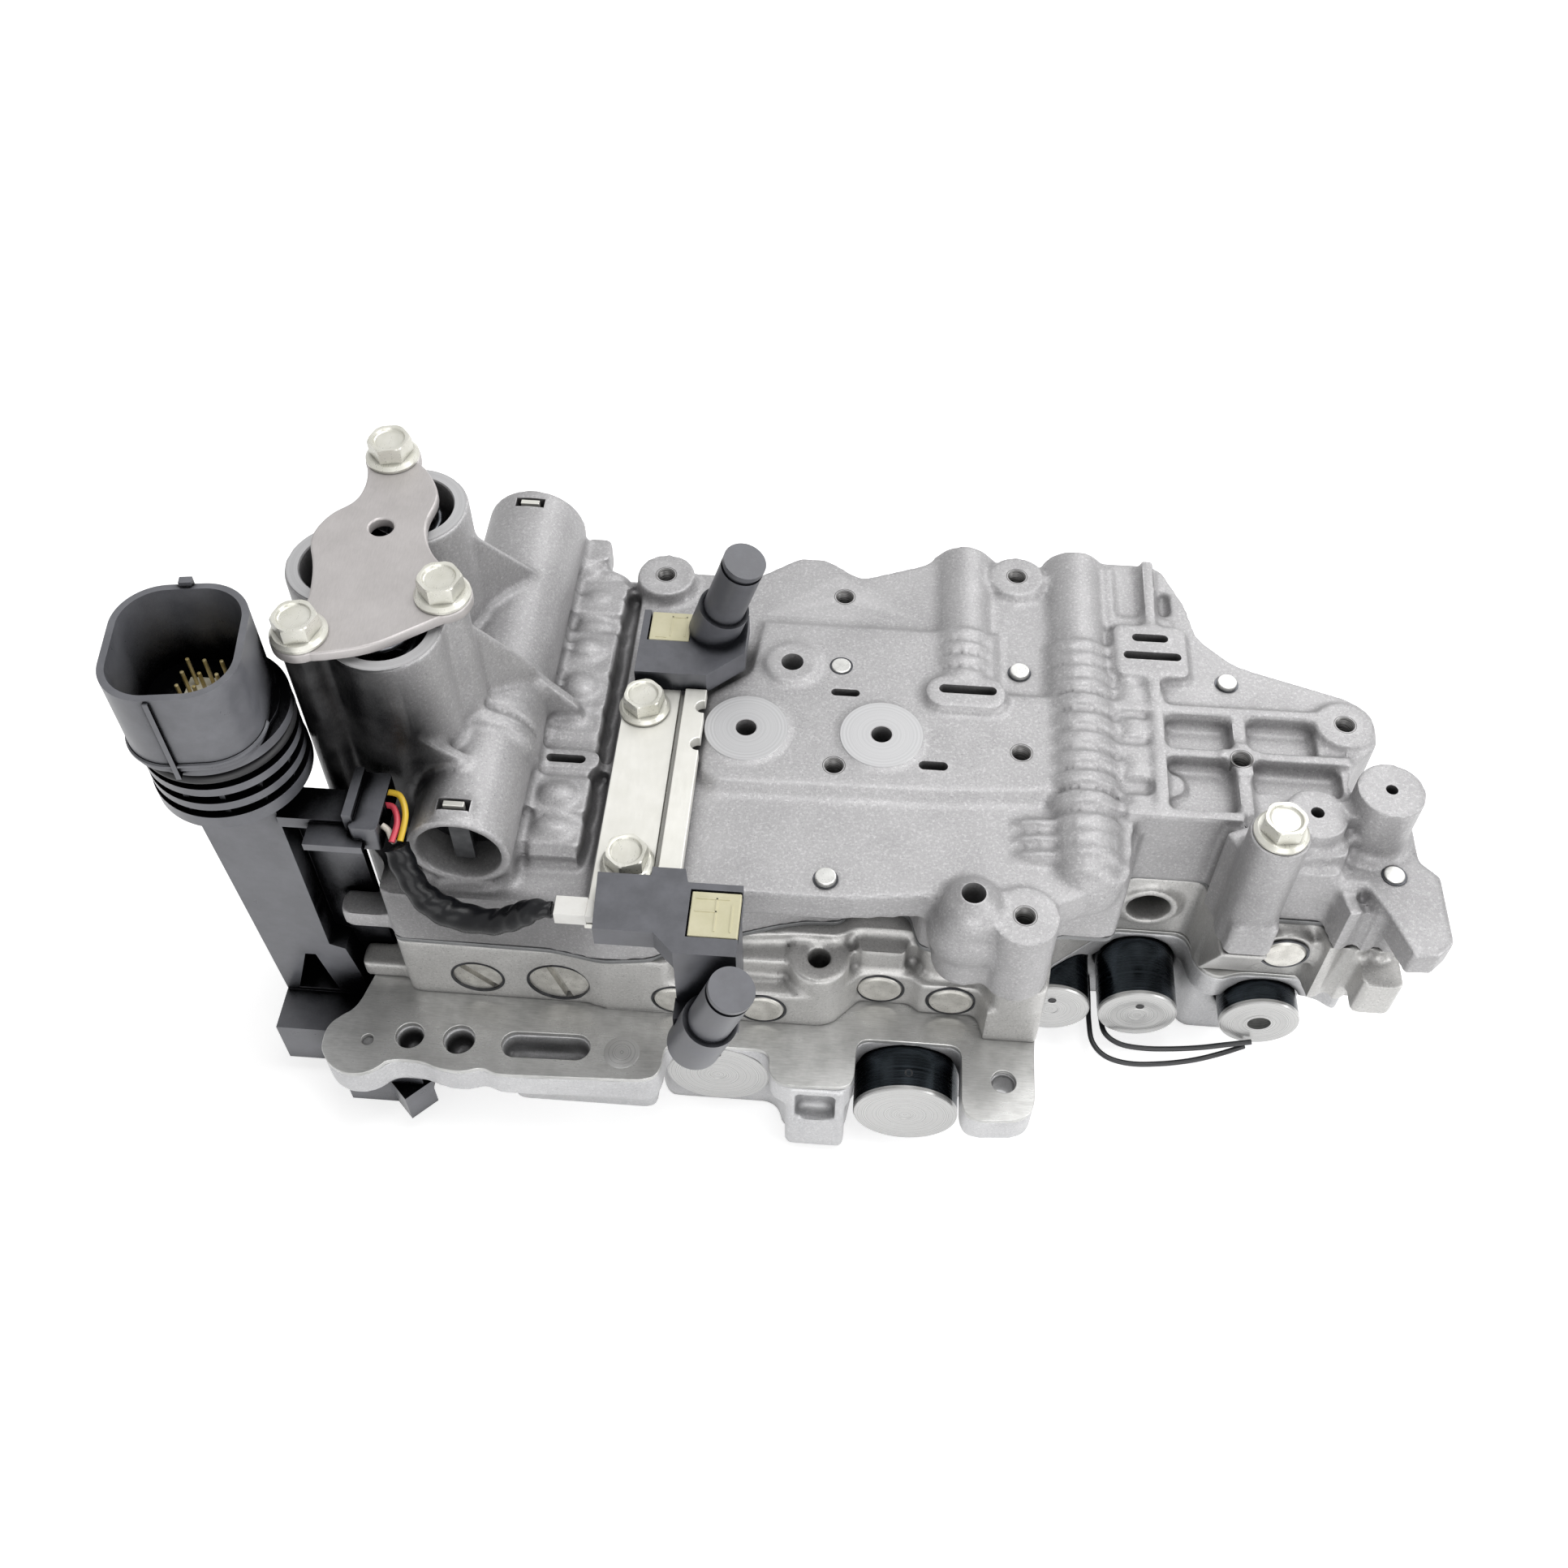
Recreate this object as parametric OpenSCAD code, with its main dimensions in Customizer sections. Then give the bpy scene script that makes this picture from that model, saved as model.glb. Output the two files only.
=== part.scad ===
// Valve body of an automatic transmission: three stacked castings with separator
// plates, accumulators, spool valves, solenoids, speed sensors and a wiring tower.
// Millimetres, +Z up. Z = 0 is the plane that the lower casting rests on.

/* [Casting stack] */
// Depth of the upper casting under its top machined face
upper_h = 30; // [28:0.5:34]
// Thickness of each separator plate
plate_t = 1.6; // [1:0.1:2.4]
// Depth of the middle casting
middle_h = 26.4; // [25:0.2:30]
// Depth of the lower casting
lower_h = 36.4; // [35:0.2:42]
// Thickness of the lower casting's flange under its plate
flange_t = 10; // [7:0.5:12]

/* [Accumulators] */
// Bore radius of an accumulator
acc_r = 11; // [9:0.25:11.5]
// Wall of an accumulator cylinder
acc_wall = 3.8; // [2.5:0.1:4.2]
// Height of the accumulator rims above the top machined face
acc_h = 56; // [50:0.5:60]
// Height of the cover's seats above the rims
cover_gap = 1.5; // [0.8:0.1:2.5]
// Thickness of the accumulator cover
cover_t = 3; // [2:0.25:4]
// Travel of an accumulator piston
acc_stroke = 12; // [6:1:14]
// Length of an accumulator piston
piston_h = 20; // [16:1:22]
// Wall and floor of an accumulator piston
piston_wall = 2.2; // [1.5:0.1:3]

/* [Spool valves] */
// Bore radius of the long valve tube
tube_r = 11; // [9:0.25:11.5]
// Wall of the long valve tube
tube_wall = 3.5; // [2.5:0.1:4]
// Height of the valve tube's axis above the top machined face
tube_z = 6; // [4:0.5:8]
// Bore radius of the first valve hump
hump1_r = 6.5; // [5:0.25:7]
// Bore radius of the second valve hump
hump2_r = 7; // [5:0.25:7.5]
// Wall over the valve humps
hump_wall = 3; // [2:0.1:3.5]
// Depth of the hump bores' axes under the top machined face
hump_z = 8.5; // [7:0.5:9.5]
// Bore radius behind the large slotted plug
reg_r = 8.5; // [7:0.25:9]
// Travel of a spool
spool_stroke = 6; // [3:0.5:7]
// Radial clearance of pistons and spools in their bores
run_gap = 0.04; // [0.02:0.01:0.09]

/* [Solenoids] */
// Can radius of the two large solenoids
large_r = 14.8; // [13:0.1:15]
// Can radius of the three small solenoids
small_r = 11.5; // [10:0.1:11.8]
// Nose radius of every solenoid
nose_r = 7; // [5.5:0.1:8]
// Gap round a solenoid can
can_gap = 0.4; // [0.2:0.1:0.8]
// Gap round a solenoid nose
nose_gap = 0.05; // [0.02:0.01:0.1]

/* [Fasteners] */
// Shank diameter of the flange bolts
bolt_d = 6; // [5:0.5:7]
// Width of their hexagon across flats
hex_af = 10; // [8:0.5:11]
// Diameter of their flange
bolt_flange_d = 14; // [12:0.5:15]
// Radial clearance of a shank in a plain hole
hole_gap = 0.4; // [0.2:0.05:0.6]
// Radius of the open tapped holes
tap_r = 2.75; // [2.2:0.05:3]
// Depth of the open tapped holes
tap_depth = 15; // [10:0.5:16]

/* [Sensors and tower] */
// Barrel radius of a speed sensor
barrel_r = 5.9; // [4.5:0.1:6.4]
// Lean of a sensor barrel to the right, in degrees
barrel_lean = 17; // [10:0.5:22]
// Tip of a sensor barrel to the front, in degrees
barrel_tip = 7; // [0:0.5:10]
// Thickness of the sensor bracket
bracket_t = 2; // [1.5:0.1:3]
// Height of the connector's rim above the top machined face
rim_h = 74; // [71:0.5:77]
// Wall of the connector shroud
shroud_wall = 1.7; // [1.4:0.1:2.6]
// Radius of the connector's sealing collars
collar_r = 19; // [18.4:0.1:19.2]
// Width of the wiring duct
duct_w = 21; // [18:0.5:22]
// Depth of the wiring duct from front to back
duct_d = 17; // [14:0.5:19]
// Outer radius of the taped sensor lead
lead_r = 3.2; // [2.5:0.1:3.5]

/* [Hidden] */
$fn = 64;
low_z = lower_h;
mid_z0 = low_z + plate_t;
mid_z1 = mid_z0 + middle_h;
up_z = mid_z1 + plate_t;
top_z = up_z + upper_h;
// Middle of the outline, which the part's origin lies under
mid_x = 10.3;
mid_y = 9.3;

// Accumulators and the cover over them
acc_xy = [[-98, -3], [-113, 18], [-100.5, 40]];
cover_xy = [[-107.5, 53.5], [-84, 4.5], [-115.5, -11]];
column_r = 5.5;
acc_floor = tube_z + tube_r + 2;
piston_z = acc_floor + 0.3;
seat_z = acc_h + cover_gap;
acc_spring_z = piston_z + piston_wall;
acc_spring_h = seat_z - acc_spring_z;
acc_spring_r = acc_r - piston_wall - 2.2;

// Long valve tube, front to back, and its two bores
tube_x = -81;
tube_y0 = -34;
tube_y1 = 88;
tube_depth = 52;
clip_in = 5.3;
clip_t = 1.6;
plug_in = 12;
plug_t = 6;
spring_l = 14;
tube_band = [-1.5, 8.6];
tube_spool_l = tube_depth - plug_in - plug_t - spring_l;

// Valve humps, open at the back
hump_y1 = 95;
hump1_x = 48;
hump2_x = 81;
hump1_depth = 56;
hump2_depth = 112;
hump_plug_t = 6;
hump_spring_l = 16;

// Regulator bore behind the large slotted plug
reg_x = -60;
reg_z = 48;
front_y = -38;
reg_depth = 58;
reg_plug_t = 6;

// Solenoids: centre x, face y, centre height, can radius, can length
sol_z1 = low_z - large_r - 1.2;
sol_z2 = low_z - small_r - 2.4;
sol = [
    [-15, -48.5, sol_z1, large_r, 40],
    [39, -57, sol_z1, large_r, 40],
    [80.5, -20.5, sol_z2, small_r, 30],
    [106, -20.5, sol_z2, small_r, 30],
    [141.5, -20.5, sol_z2, small_r, 30]
];
nose_l = 26;

// Holes and pins seen on the top face; a tapped hole has the height of its rim, a pin that of its end
tap_xy = [[-41, 75, 1.5], [12.5, 74.5, -3], [63.5, 85, -0.8], [64, 16.5, -0.6], [13, 8, -0.6], [124, 19, -0.4],
    [154, 34, -0.8], [64.5, -36, -2]];
disc_xy = [[-12, 19], [25.5, 19.5]];
disc_r = 11.6;
pin_xy = [[13, 44.5, -0.2], [64, 48, -1.6], [13, -28, -1.5], [123, 48.5, -1.7]];
pin_r = 2.8;
skin = -3;
end_z = -10;
end_pin = [163.5, -10];

// Bolts that hold the stack together from below
stack_xy = [[-98, 48], [-100, -22], [-58, 40], [-46, -26], [12, -18], [12, 60], [66, 62], [124, 38]];
stack_seat = 10;
stack_tip = up_z + 14;
case_xy = [127, -17];
case_seat = 14.5;
bracket_xy = [[-40.5, 22], [-38, -31]];
bracket_z = 0;
bracket_top = bracket_z + bracket_t;

// Connector and duct
duct_x = -137;
duct_right = duct_x + duct_w / 2 + 0.8;
tower_x = duct_x + 1;
tower_y = -25.5;
tower_z = 26;
body_top = 49;
insert_top = 47;
duct_y0 = -33;
shroud_c = [tower_x - 0.9, tower_y - 2];
shroud_w = 32;
shroud_d = 36;
shroud_r = 12;
shroud_turn = 8;
seal_r = 1.2;

// Routes of the leads, relative to the top machined face
lead_route = [[-94.5, -38.2, 13.5], [-92, -42, 8], [-88, -44.6, 1], [-81, -46.5, -3], [-71, -48, -3],
    [-64, -48.4, 0.8], [-59, -48.5, 4.8], [-54.3, -48.5, 5.3]];
wire_r = 0.8;
yellow_route = [[-99, -25, 18.5], [-95.4, -26.2, 18.7], [-93.2, -31, 17.4], [-93.7, -37.2, 14.6]];
red_route = [[-99, -28, 17], [-96.6, -29, 17.3], [-95, -33, 16.6], [-95.7, -37.8, 14.8]];
white_route = [[-99, -33.4, 15.6], [-97.4, -34.2, 14.9], [-96.4, -35.8, 13.8], [-95.4, -36.8, 13.4]];
loop_a = [[94, -0.4, -86], [94, -8, -86], [94, -16, -86.4], [95, -22.5, -87.5], [99, -26.5, -88.6],
    [106, -28.2, -88.8], [115, -28, -88], [124, -27, -86.4], [132, -25, -85], [139.5, -22, -84.6]];
loop_b = [[97.2, -0.4, -85.4], [97.2, -8, -85.4], [97.4, -15, -85.4], [98.6, -20.4, -85.6],
    [103, -23.4, -86], [110, -24.4, -85.8], [118, -24.4, -85], [126, -24, -83.8], [133.5, -23, -82.8], [141, -22, -81.8]];

// Small shapes used by many pieces

module placed() {
    translate([-mid_x, -mid_y, 0]) children();
}

module on_top() {
    placed() translate([0, 0, top_z]) children();
}

module slab(p, z0, z1) {
    translate([0, 0, z0]) linear_extrude(z1 - z0) polygon(p);
}

module rod(p, z0, z1, r) {
    translate([p[0], p[1], z0]) cylinder(h = z1 - z0, r = r);
}

module bar_y(x, z, y0, y1, r) {
    translate([x, y0, z]) rotate([-90, 0, 0]) cylinder(h = y1 - y0, r = r);
}

module bar_x(y, z, x0, x1, r) {
    translate([x0, y, z]) rotate([0, 90, 0]) cylinder(h = x1 - x0, r = r);
}

module block(a, b) {
    translate(a) cube(b - a);
}

module soft_block(a, b, r) {
    block([a[0] + r, a[1], a[2]], [b[0] - r, b[1], b[2]]);
    block([a[0], a[1] + r, a[2]], [b[0], b[1] - r, b[2]]);
    for (x = [a[0] + r, b[0] - r], y = [a[1] + r, b[1] - r])
        rod([x, y], a[2], b[2], r);
}

// Straight rib between two points, seen from above
module rib(a, b, w, z0, z1) {
    d = b - a;
    translate([a[0], a[1], z0]) rotate([0, 0, atan2(d[1], d[0])]) translate([0, -w / 2, 0])
        cube([norm(d), w, z1 - z0]);
}

module pill(a, b, r, z0, z1) {
    rib(a, b, 2 * r, z0, z1);
    rod(a, z0, z1, r);
    rod(b, z0, z1, r);
}

// Flange bolt with its seat at z = 0 and its shank hanging down
module flange_bolt(len) {
    cylinder(h = 1.8, d = bolt_flange_d);
    cylinder(h = 6.4, d = hex_af / cos(30), $fn = 6);
    translate([0, 0, -len]) cylinder(h = len + 1, d = bolt_d);
}

// Tube of radius r along a list of points
function unit(v) = v / norm(v);
function along(p, i) = unit(p[min(i + 1, len(p) - 1)] - p[max(i - 1, 0)]);
function side(t) = unit(cross(t, abs(t[2]) < 0.9 ? [0, 0, 1] : [0, 1, 0]));
function ring(c, t, r, n) = [for (k = [0:n - 1]) let (u = side(t), v = cross(t, u), a = 360 * k / n)
    c + r * (cos(a) * u + sin(a) * v)];
module swept_tube(p, r, n = 8) {
    m = len(p);
    pts = [for (i = [0:m - 1]) each ring(p[i], along(p, i), r, n)];
    sides = [for (i = [0:m - 2], k = [0:n - 1], h = [0, 1]) let (j = (k + 1) % n, o = i * n)
        h == 0 ? [o + k, o + j, o + n + j] : [o + k, o + n + j, o + n + k]];
    first = [for (k = [n - 1:-1:0]) k];
    last = [for (k = [0:n - 1]) (m - 1) * n + k];
    polyhedron(pts, concat([first], sides, [last]), convexity = 10);
}

// Points between the hand-chosen points of a route, on a smooth curve
function blend(a, b, c, d, t) = 0.5 * (2 * b + (c - a) * t + (2 * a - 5 * b + 4 * c - d) * t * t
    + (3 * b - a - 3 * c + d) * t * t * t);
function route(p, n) = concat([for (i = [0:len(p) - 2], k = [0:n - 1])
    blend(p[max(i - 1, 0)], p[i], p[i + 1], p[min(i + 2, len(p) - 1)], k / n)], [p[len(p) - 1]]);

// Coil spring standing on z = 0, closed at both ends
module coil_spring(h, r, wire, turns) {
    steps = 12 * turns;
    rise = h - 2 * wire;
    swept_tube([for (i = [0:steps]) let (a = 30 * i) [r * cos(a), r * sin(a), wire + rise * i / steps]],
        wire, 8);
}

// Spool with three lands, from y = 0 to y = l
module spool(r, l) {
    land = l / 5;
    rotate([-90, 0, 0]) {
        cylinder(h = l, r = r * 0.55);
        for (k = [0, 2, 4])
            translate([0, 0, k * land]) cylinder(h = land, r = r);
    }
}

// Outline with each corner eased over a length, but never past half of a side
function eased(p, trim, n = 4) = [for (i = [0:len(p) - 1]) let (b = p[i],
    u = p[(i + len(p) - 1) % len(p)] - b,
    v = p[(i + 1) % len(p)] - b, s = b + u / norm(u) * min(trim, 0.45 * norm(u)),
    e = b + v / norm(v) * min(trim, 0.45 * norm(v))) for (k = [0:n]) let (t = k / n)
    (1 - t) * (1 - t) * s + 2 * t * (1 - t) * b + t * t * e];

// Outlines

back_edge = [[153, 15], [156, 22], [163, 29], [163, 40], [157, 45.5], [126, 56], [116, 66], [113.5, 79],
    [107, 94], [100, hump_y1], [72, hump_y1], [71, 91], [58, 91], [57, hump_y1], [39, hump_y1], [38, 91],
    [31, 88], [17, 82.5], [6, 90], [-2, 90], [-14, 81]];
right_edge = [[97, -1], [119, -1], [120, -12], [134, -13], [157, -13], [165, -19], [167, -2], [160, 8]];
short_right = [[97, -1], [119, -1], [120, -12], [134, -13], [149, -13]];
left_edge = [[-58, 81], [-66, 86], [-98, 86], [-110, 66], [-124, 30], [-124, 8], [-112, -20], [-104, -28]];
upper_front = concat([[-104, front_y], [-60, -38.5], [-46, -41], [-33, -39.5], [-26, -35], [0, -26], [8, -24],
    [18, -23.5], [20, -19], [36, -19], [39, -30], [74, -30], [76, -23], [92, -23]]);
upper_wall = concat(upper_front, short_right, back_edge, left_edge);
upper_outline = concat(upper_front, right_edge, back_edge, left_edge);
upper_roof = concat([[-48, -40.5], [-30, -38.5], [-8, -34], [20, -33.5], [40, -31], [74, -31], [92, -22],
    [94, -2], [119, -2], [124, -10], [134, -12], [150, -10]], back_edge, [[-48, 81]]);
plateau = [[-23, 4], [-18, 1], [40, 2], [68, 4], [78, 9], [78, 36.6], [56, 36.6], [56, 60], [-10, 60],
    [-12, 40], [-23, 31]];
plateau_foot = [[-24.5, 3], [-19, -1.2], [40, -0.2], [69, 2], [80, 8], [80, 35.8], [57.5, 35.8],
    [57.5, 61.4], [-11, 61.4], [-13.4, 41], [-24.5, 32]];
middle_front = [[-104, front_y], [-54, front_y], [-48, -39.6], [-28, -39.6], [-24, -30], [6, -27],
    [18, -27], [22, -24], [38, -24], [42, -31], [58, -31], [60, -41], [74, -41], [77, -17]];
lower_front = [[-115, -65], [-108, -62], [-104, -60], [-96, -60], [-91, -62], [-84, -62.5], [-79, -60.5],
    [-75, -62.5], [-33, -61], [-29.5, -58], [-29.5, -49], [0, -49], [0, -56], [4, -59.5], [22, -59],
    [24, -56], [24, -43.5], [53.5, -43.5], [53.5, -63], [57, -66], [70, -65], [73.5, -61], [73.5, -41],
    [77, -16]];
lower_outline = concat(lower_front, [[96, -1], [118.5, -1], [121, -12], [127, -15.5], [133, -13], [157, -13],
    [163, -18], [165, 0]], back_edge, [[-58, 81], [-98, 84], [-110, 60], [-112, -20], [-118, -45],
    [-125, -50], [-125, -60]]);

cover_outline = [[-100.5, 53], [-95, 46], [-92, 39], [-94, 29], [-90, 18], [-80, 10], [-78, 1], [-98, -14],
    [-114, -18], [-121, -14], [-116, -2], [-118, 12], [-122, 22], [-119, 31], [-113, 36], [-112, 44],
    [-114.4, 53]];
lower_core = [[-84, -36], [-34, -36], [-31, -46], [2, -46], [4, -54], [22, -54], [24, -40], [74, -40],
    [75, -12], [92, 0], [119, 0], [123, -10], [155, -10], [158, 12], [154, 38], [112, 56], [104, 86],
    [72, 86], [-58, 74], [-98, 70], [-108, 52], [-108, -29], [-90, -31]];

// Castings

module accumulator_housing() {
    for (p = acc_xy)
        rod(p, -8, acc_h, acc_r + acc_wall);
    for (p = cover_xy)
        rod(p, -8, seat_z, column_r);
    // Webs that tie the bolt columns to the cylinders
    for (k = [[0, 2], [1, 0], [2, 0]])
        rib(cover_xy[k[0]], acc_xy[k[1]], 8, -8, acc_h - 2);
    // Sloping gussets down to the valve tube
    gusset([-88, 38.5], [-75.4, 55.4], acc_h - 5, 20);
    gusset([-83, 6], [-69.3, 20.3], acc_h - 3, 19.5);
    gusset([-71, 20.2], [-58.5, 20.8], 19, 3);
    gusset([-96, -15], [-76, -14], 34, 17);
}

// Upright rib from a to b, as seen from above, whose edge slopes from height za to zb
module gusset(a, b, za, zb) {
    d = b - a;
    translate([a[0], a[1], 0]) rotate([0, 0, atan2(d[1], d[0])]) rotate([90, 0, 0])
        linear_extrude(3, center = true)
            polygon([[-2, -6], [norm(d), -6], [norm(d), zb], [0, za], [-2, za]]);
}

module valve_tube() {
    bar_y(tube_x, tube_z, tube_band[1] - 1, tube_y1, tube_r + tube_wall);
    bar_y(tube_x, tube_z, tube_y0, tube_band[1], tube_r + tube_wall - 1);
    block([tube_x - 12, tube_y0 + 2, -12], [tube_x + 12, tube_y1 - 2, tube_z]);
    // Raised band across the middle of the tube
    bar_y(tube_x, tube_z, tube_band[0], tube_band[1], tube_r + tube_wall + 0.4);
    // Cast steps over the oil ways beside the tube: front, back and top
    block([-66, -26, -9.4], [-52.5, 74, -3.4]);
    for (b = [[66.7, 73.4, -1.4], [59, 66, -0.3], [52.4, 58.2, -1.9], [35.8, 51.6, -0.1], [23, 35.2, -0.7],
        [14.4, 22.3, -1.5], [8.2, 13.8, -2.3], [-13.6, -1.4, -0.4], [-24, -14.4, -1.7]])
        soft_block([-66.6, b[0], -9], [-52, b[1], b[2]], 1.4);
    pill([-66, 4.5], [-54, 4.5], 3.4, -8, -0.5);
    soft_block([-67, 80, -8], [-59, 89, 1], 2);
}

module valve_humps() {
    bar_y(hump1_x, -hump_z, hump_y1 - hump1_depth - 3, hump_y1, hump1_r + hump_wall);
    bar_y(hump2_x, -hump_z, hump_y1 - hump2_depth - 4, hump_y1, hump2_r + hump_wall);
    // Ring ridges where the bores are stepped
    for (y = [41:5.4:58])
        bar_y(hump1_x, -hump_z, y, y + 3, hump1_r + hump_wall + 1.3);
    for (y = [40.2:5:56])
        bar_y(hump2_x, -hump_z, y, y + 2.8, hump2_r + hump_wall + 1.2);
    for (y = [-1.4:6.9:34])
        bar_y(hump2_x, -hump_z, y, y + 4, hump2_r + hump_wall + 1.5);
    for (y = [-18.4:5.2:-6])
        bar_y(hump2_x, -hump_z, y, y + 3, hump2_r + hump_wall + 1.3);
    // Lumps between the second hump and the long rib
    for (y = [1.5, 14.5, 28.5, 43])
        bar_y(95.5, -9.5, y - 3.6, y + 3.6, 8.7);
}

module top_bosses() {
    for (p = disc_xy)
        rod(p, -4, 0, disc_r);
    for (p = [tap_xy[2], tap_xy[6]])
        rod(p, -14, p[2], 8.4);
    for (p = bracket_xy)
        rod(p, -8, bracket_z, 7.2);
    rod(tap_xy[0], -14, tap_xy[0][2], 8.6);
    rod(tap_xy[7], -upper_h, tap_xy[7][2], 9);
    rod(tap_xy[5], -14, tap_xy[5][2], 6);
    rod([-1, 44], -8, 0.5, 7.8);
    // Rounded boss with the front oil hole
    rod([51, -33], -upper_h + 1, -6, 8.8);
    translate([51, -33, -6]) sphere(r = 8.8);
    // Long slotted pad and framed pad
    pill([43, 35.5], [54, 35.5], 5.8, -8, 1.8);
    soft_block([91, 47, -8], [112, 67, 0.5], 3);
    soft_block([92.5, 64, -8], [109, 72, -2], 2);
    // Flats beside the humps
    soft_block([-118, -35, -upper_h], [-100, -27, -upper_h + 6], 2);
}

module top_ribs() {
    rib([58, 36.2], [152, 36.8], 3.6, -10, -0.9);
    rib([88, 21], [154, 21], 3.2, -10, -1);
    rib([92, -0.7], [123, -0.7], 3.4, -upper_h, -0.7);
    rib([102.6, 94], [101.6, 41], 3.4, -10, 0.1);
    rib([102.4, 42], [101.4, -1.6], 3.6, -10, -0.5);
    rib([124.6, 37.6], [124.2, 0.4], 4, -10, -1.4);
    rib([91, 92], [91, 68], 3, -8, -1.7);
}

module right_end() {
    // Low flange with the tall post, the small boss and the case bolt's column
    slab([[136, 10], [160, 12], [171, 6.5], [171, -4.5], [176, -9.5], [176, -30], [171.5, -34.5], [165, -35],
        [160, -22], [156, -14], [140, -13]], end_z - 9, end_z);
    slab([[140, -13], [157, -13], [165, -19], [167, -2], [160, 8], [150, 14], [140, 14]],
        -upper_h, end_z - 1);
    rod([159, 3], end_z - 4, 10, 8.9);
    rod([141, -1], -upper_h, 3.5, 8.2);
    rod(case_xy, -upper_h, case_seat, 7.8);
    rib([122, -6], [127, -17], 11, -upper_h, 2);
    rib([134, -10], [127, -17], 6, -upper_h, 0);
    soft_block([121, -25.5, -upper_h], [134, -12, -18], 2.5);
    // Slanting ridges on the front wall
    for (x = [151, 158, 164])
        rib([x, -14], [x + 2, -21.6], 3.6, -upper_h, end_z - 2.4);
}

module clip_slot(y) {
    block([tube_x - 4.2, y - 1.8, tube_z + 2], [tube_x + 4.2, y + 1.8, tube_z + tube_r + tube_wall + 4]);
}

module upper_body() {
    color("#8d8c90") on_top() difference() {
        union() {
            slab(eased(upper_wall, 3), -upper_h, -8);
            slab(eased(upper_roof, 3), -13, skin);
            slab(eased(plateau, 4), -6, -0.6);
            slab(eased(plateau_foot, 4), -6.4, -1.9);
            accumulator_housing();
            valve_tube();
            valve_humps();
            top_bosses();
            top_ribs();
            right_end();
        }
        // Accumulator bores and the column threads
        for (p = acc_xy)
            rod(p, acc_floor, acc_h + 5, acc_r);
        for (p = cover_xy)
            rod(p, seat_z - 18, seat_z + 1, bolt_d / 2 + 0.05);
        // Valve bores
        bar_y(tube_x, tube_z, tube_y0 - 1, tube_y0 + tube_depth, tube_r);
        bar_y(tube_x, tube_z, tube_y1 - tube_depth, tube_y1 + 1, tube_r);
        bar_y(hump1_x, -hump_z, hump_y1 - hump1_depth, hump_y1 + 1, hump1_r);
        bar_y(hump2_x, -hump_z, hump_y1 - hump2_depth, hump_y1 + 1, hump2_r);
        clip_slot(tube_y0 + clip_in);
        clip_slot(tube_y1 - clip_in);
        // Curved groove over the tube's middle band
        translate([tube_x, tube_band[0] + 4.2, tube_z]) rotate([-90, 0, 0]) difference() {
            cylinder(h = 2.4, r = tube_r + tube_wall + 3);
            translate([0, 0, -1]) cylinder(h = 5, r = tube_r + tube_wall - 1.2);
            translate([-30, -2, -1]) cube([60, 30, 5]);
            translate([-30, -30, -1]) cube([31, 60, 5]);
        }
        // Tapped holes, oil holes and pin holes in the top
        for (p = tap_xy)
            rod(p, p[2] - tap_depth, 3, tap_r);
        for (p = disc_xy)
            rod(p, -18, 1, 2.9);
        for (p = pin_xy)
            rod(p, skin - 7, 2, pin_r);
        rod(end_pin, end_z - 6, end_z + 1, pin_r);
        rod([-1, 44], -18, 1, 3.2);
        rod([51, -33], -20, 4, 3.2);
        rod([159, 3], -4, 11, 1.6);
        rod([141, -1], -6, 7, 1.8);
        rod(case_xy, -upper_h - 1, case_seat + 1, bolt_d / 2 + hole_gap);
        for (p = bracket_xy)
            rod(p, -14, 3, bolt_d / 2 + 0.05);
        for (p = stack_xy)
            rod(p, -upper_h - 1, -upper_h + 15, bolt_d / 2 + 0.05);
        // Oil slots
        pill([12, 34.5], [17.5, 34.5], 1.3, -12, 1);
        pill([37.5, 10], [42.5, 10], 1.5, -12, 1);
        pill([42.5, 36.2], [55.5, 36.2], 1.6, -8, 3);
        pill([-64, 4.5], [-56, 4.5], 1.4, -12, 1);
        block([97, 60, -8], [106, 63, 2]);
        block([93.5, 53, -8], [110, 56, 2]);
        // Pockets between the ribs
        block([104.4, 22.7, -6.4], [122.4, 34.2, 2]);
        block([126.8, 22.7, -6.4], [145.6, 34.6, 2]);
        difference() {
            block([104, 1.1, -6.4], [122.1, 19.3, 2]);
            rod([105, 11.5], -8, -3.8, 4);
        }
        block([127, 9.4, -6.4], [151, 19.2, 2]);
        block([105.5, 74, -7], [108.8, 84, 2]);
    }
}

module upper_plate() {
    color("#5a5b5d") placed() difference() {
        slab(eased(upper_outline, 3), mid_z1, up_z);
        for (p = stack_xy)
            rod(p, 0, top_z, bolt_d / 2 + hole_gap);
        rod(case_xy, 0, top_z, bolt_d / 2 + hole_gap);
    }
}

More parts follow.
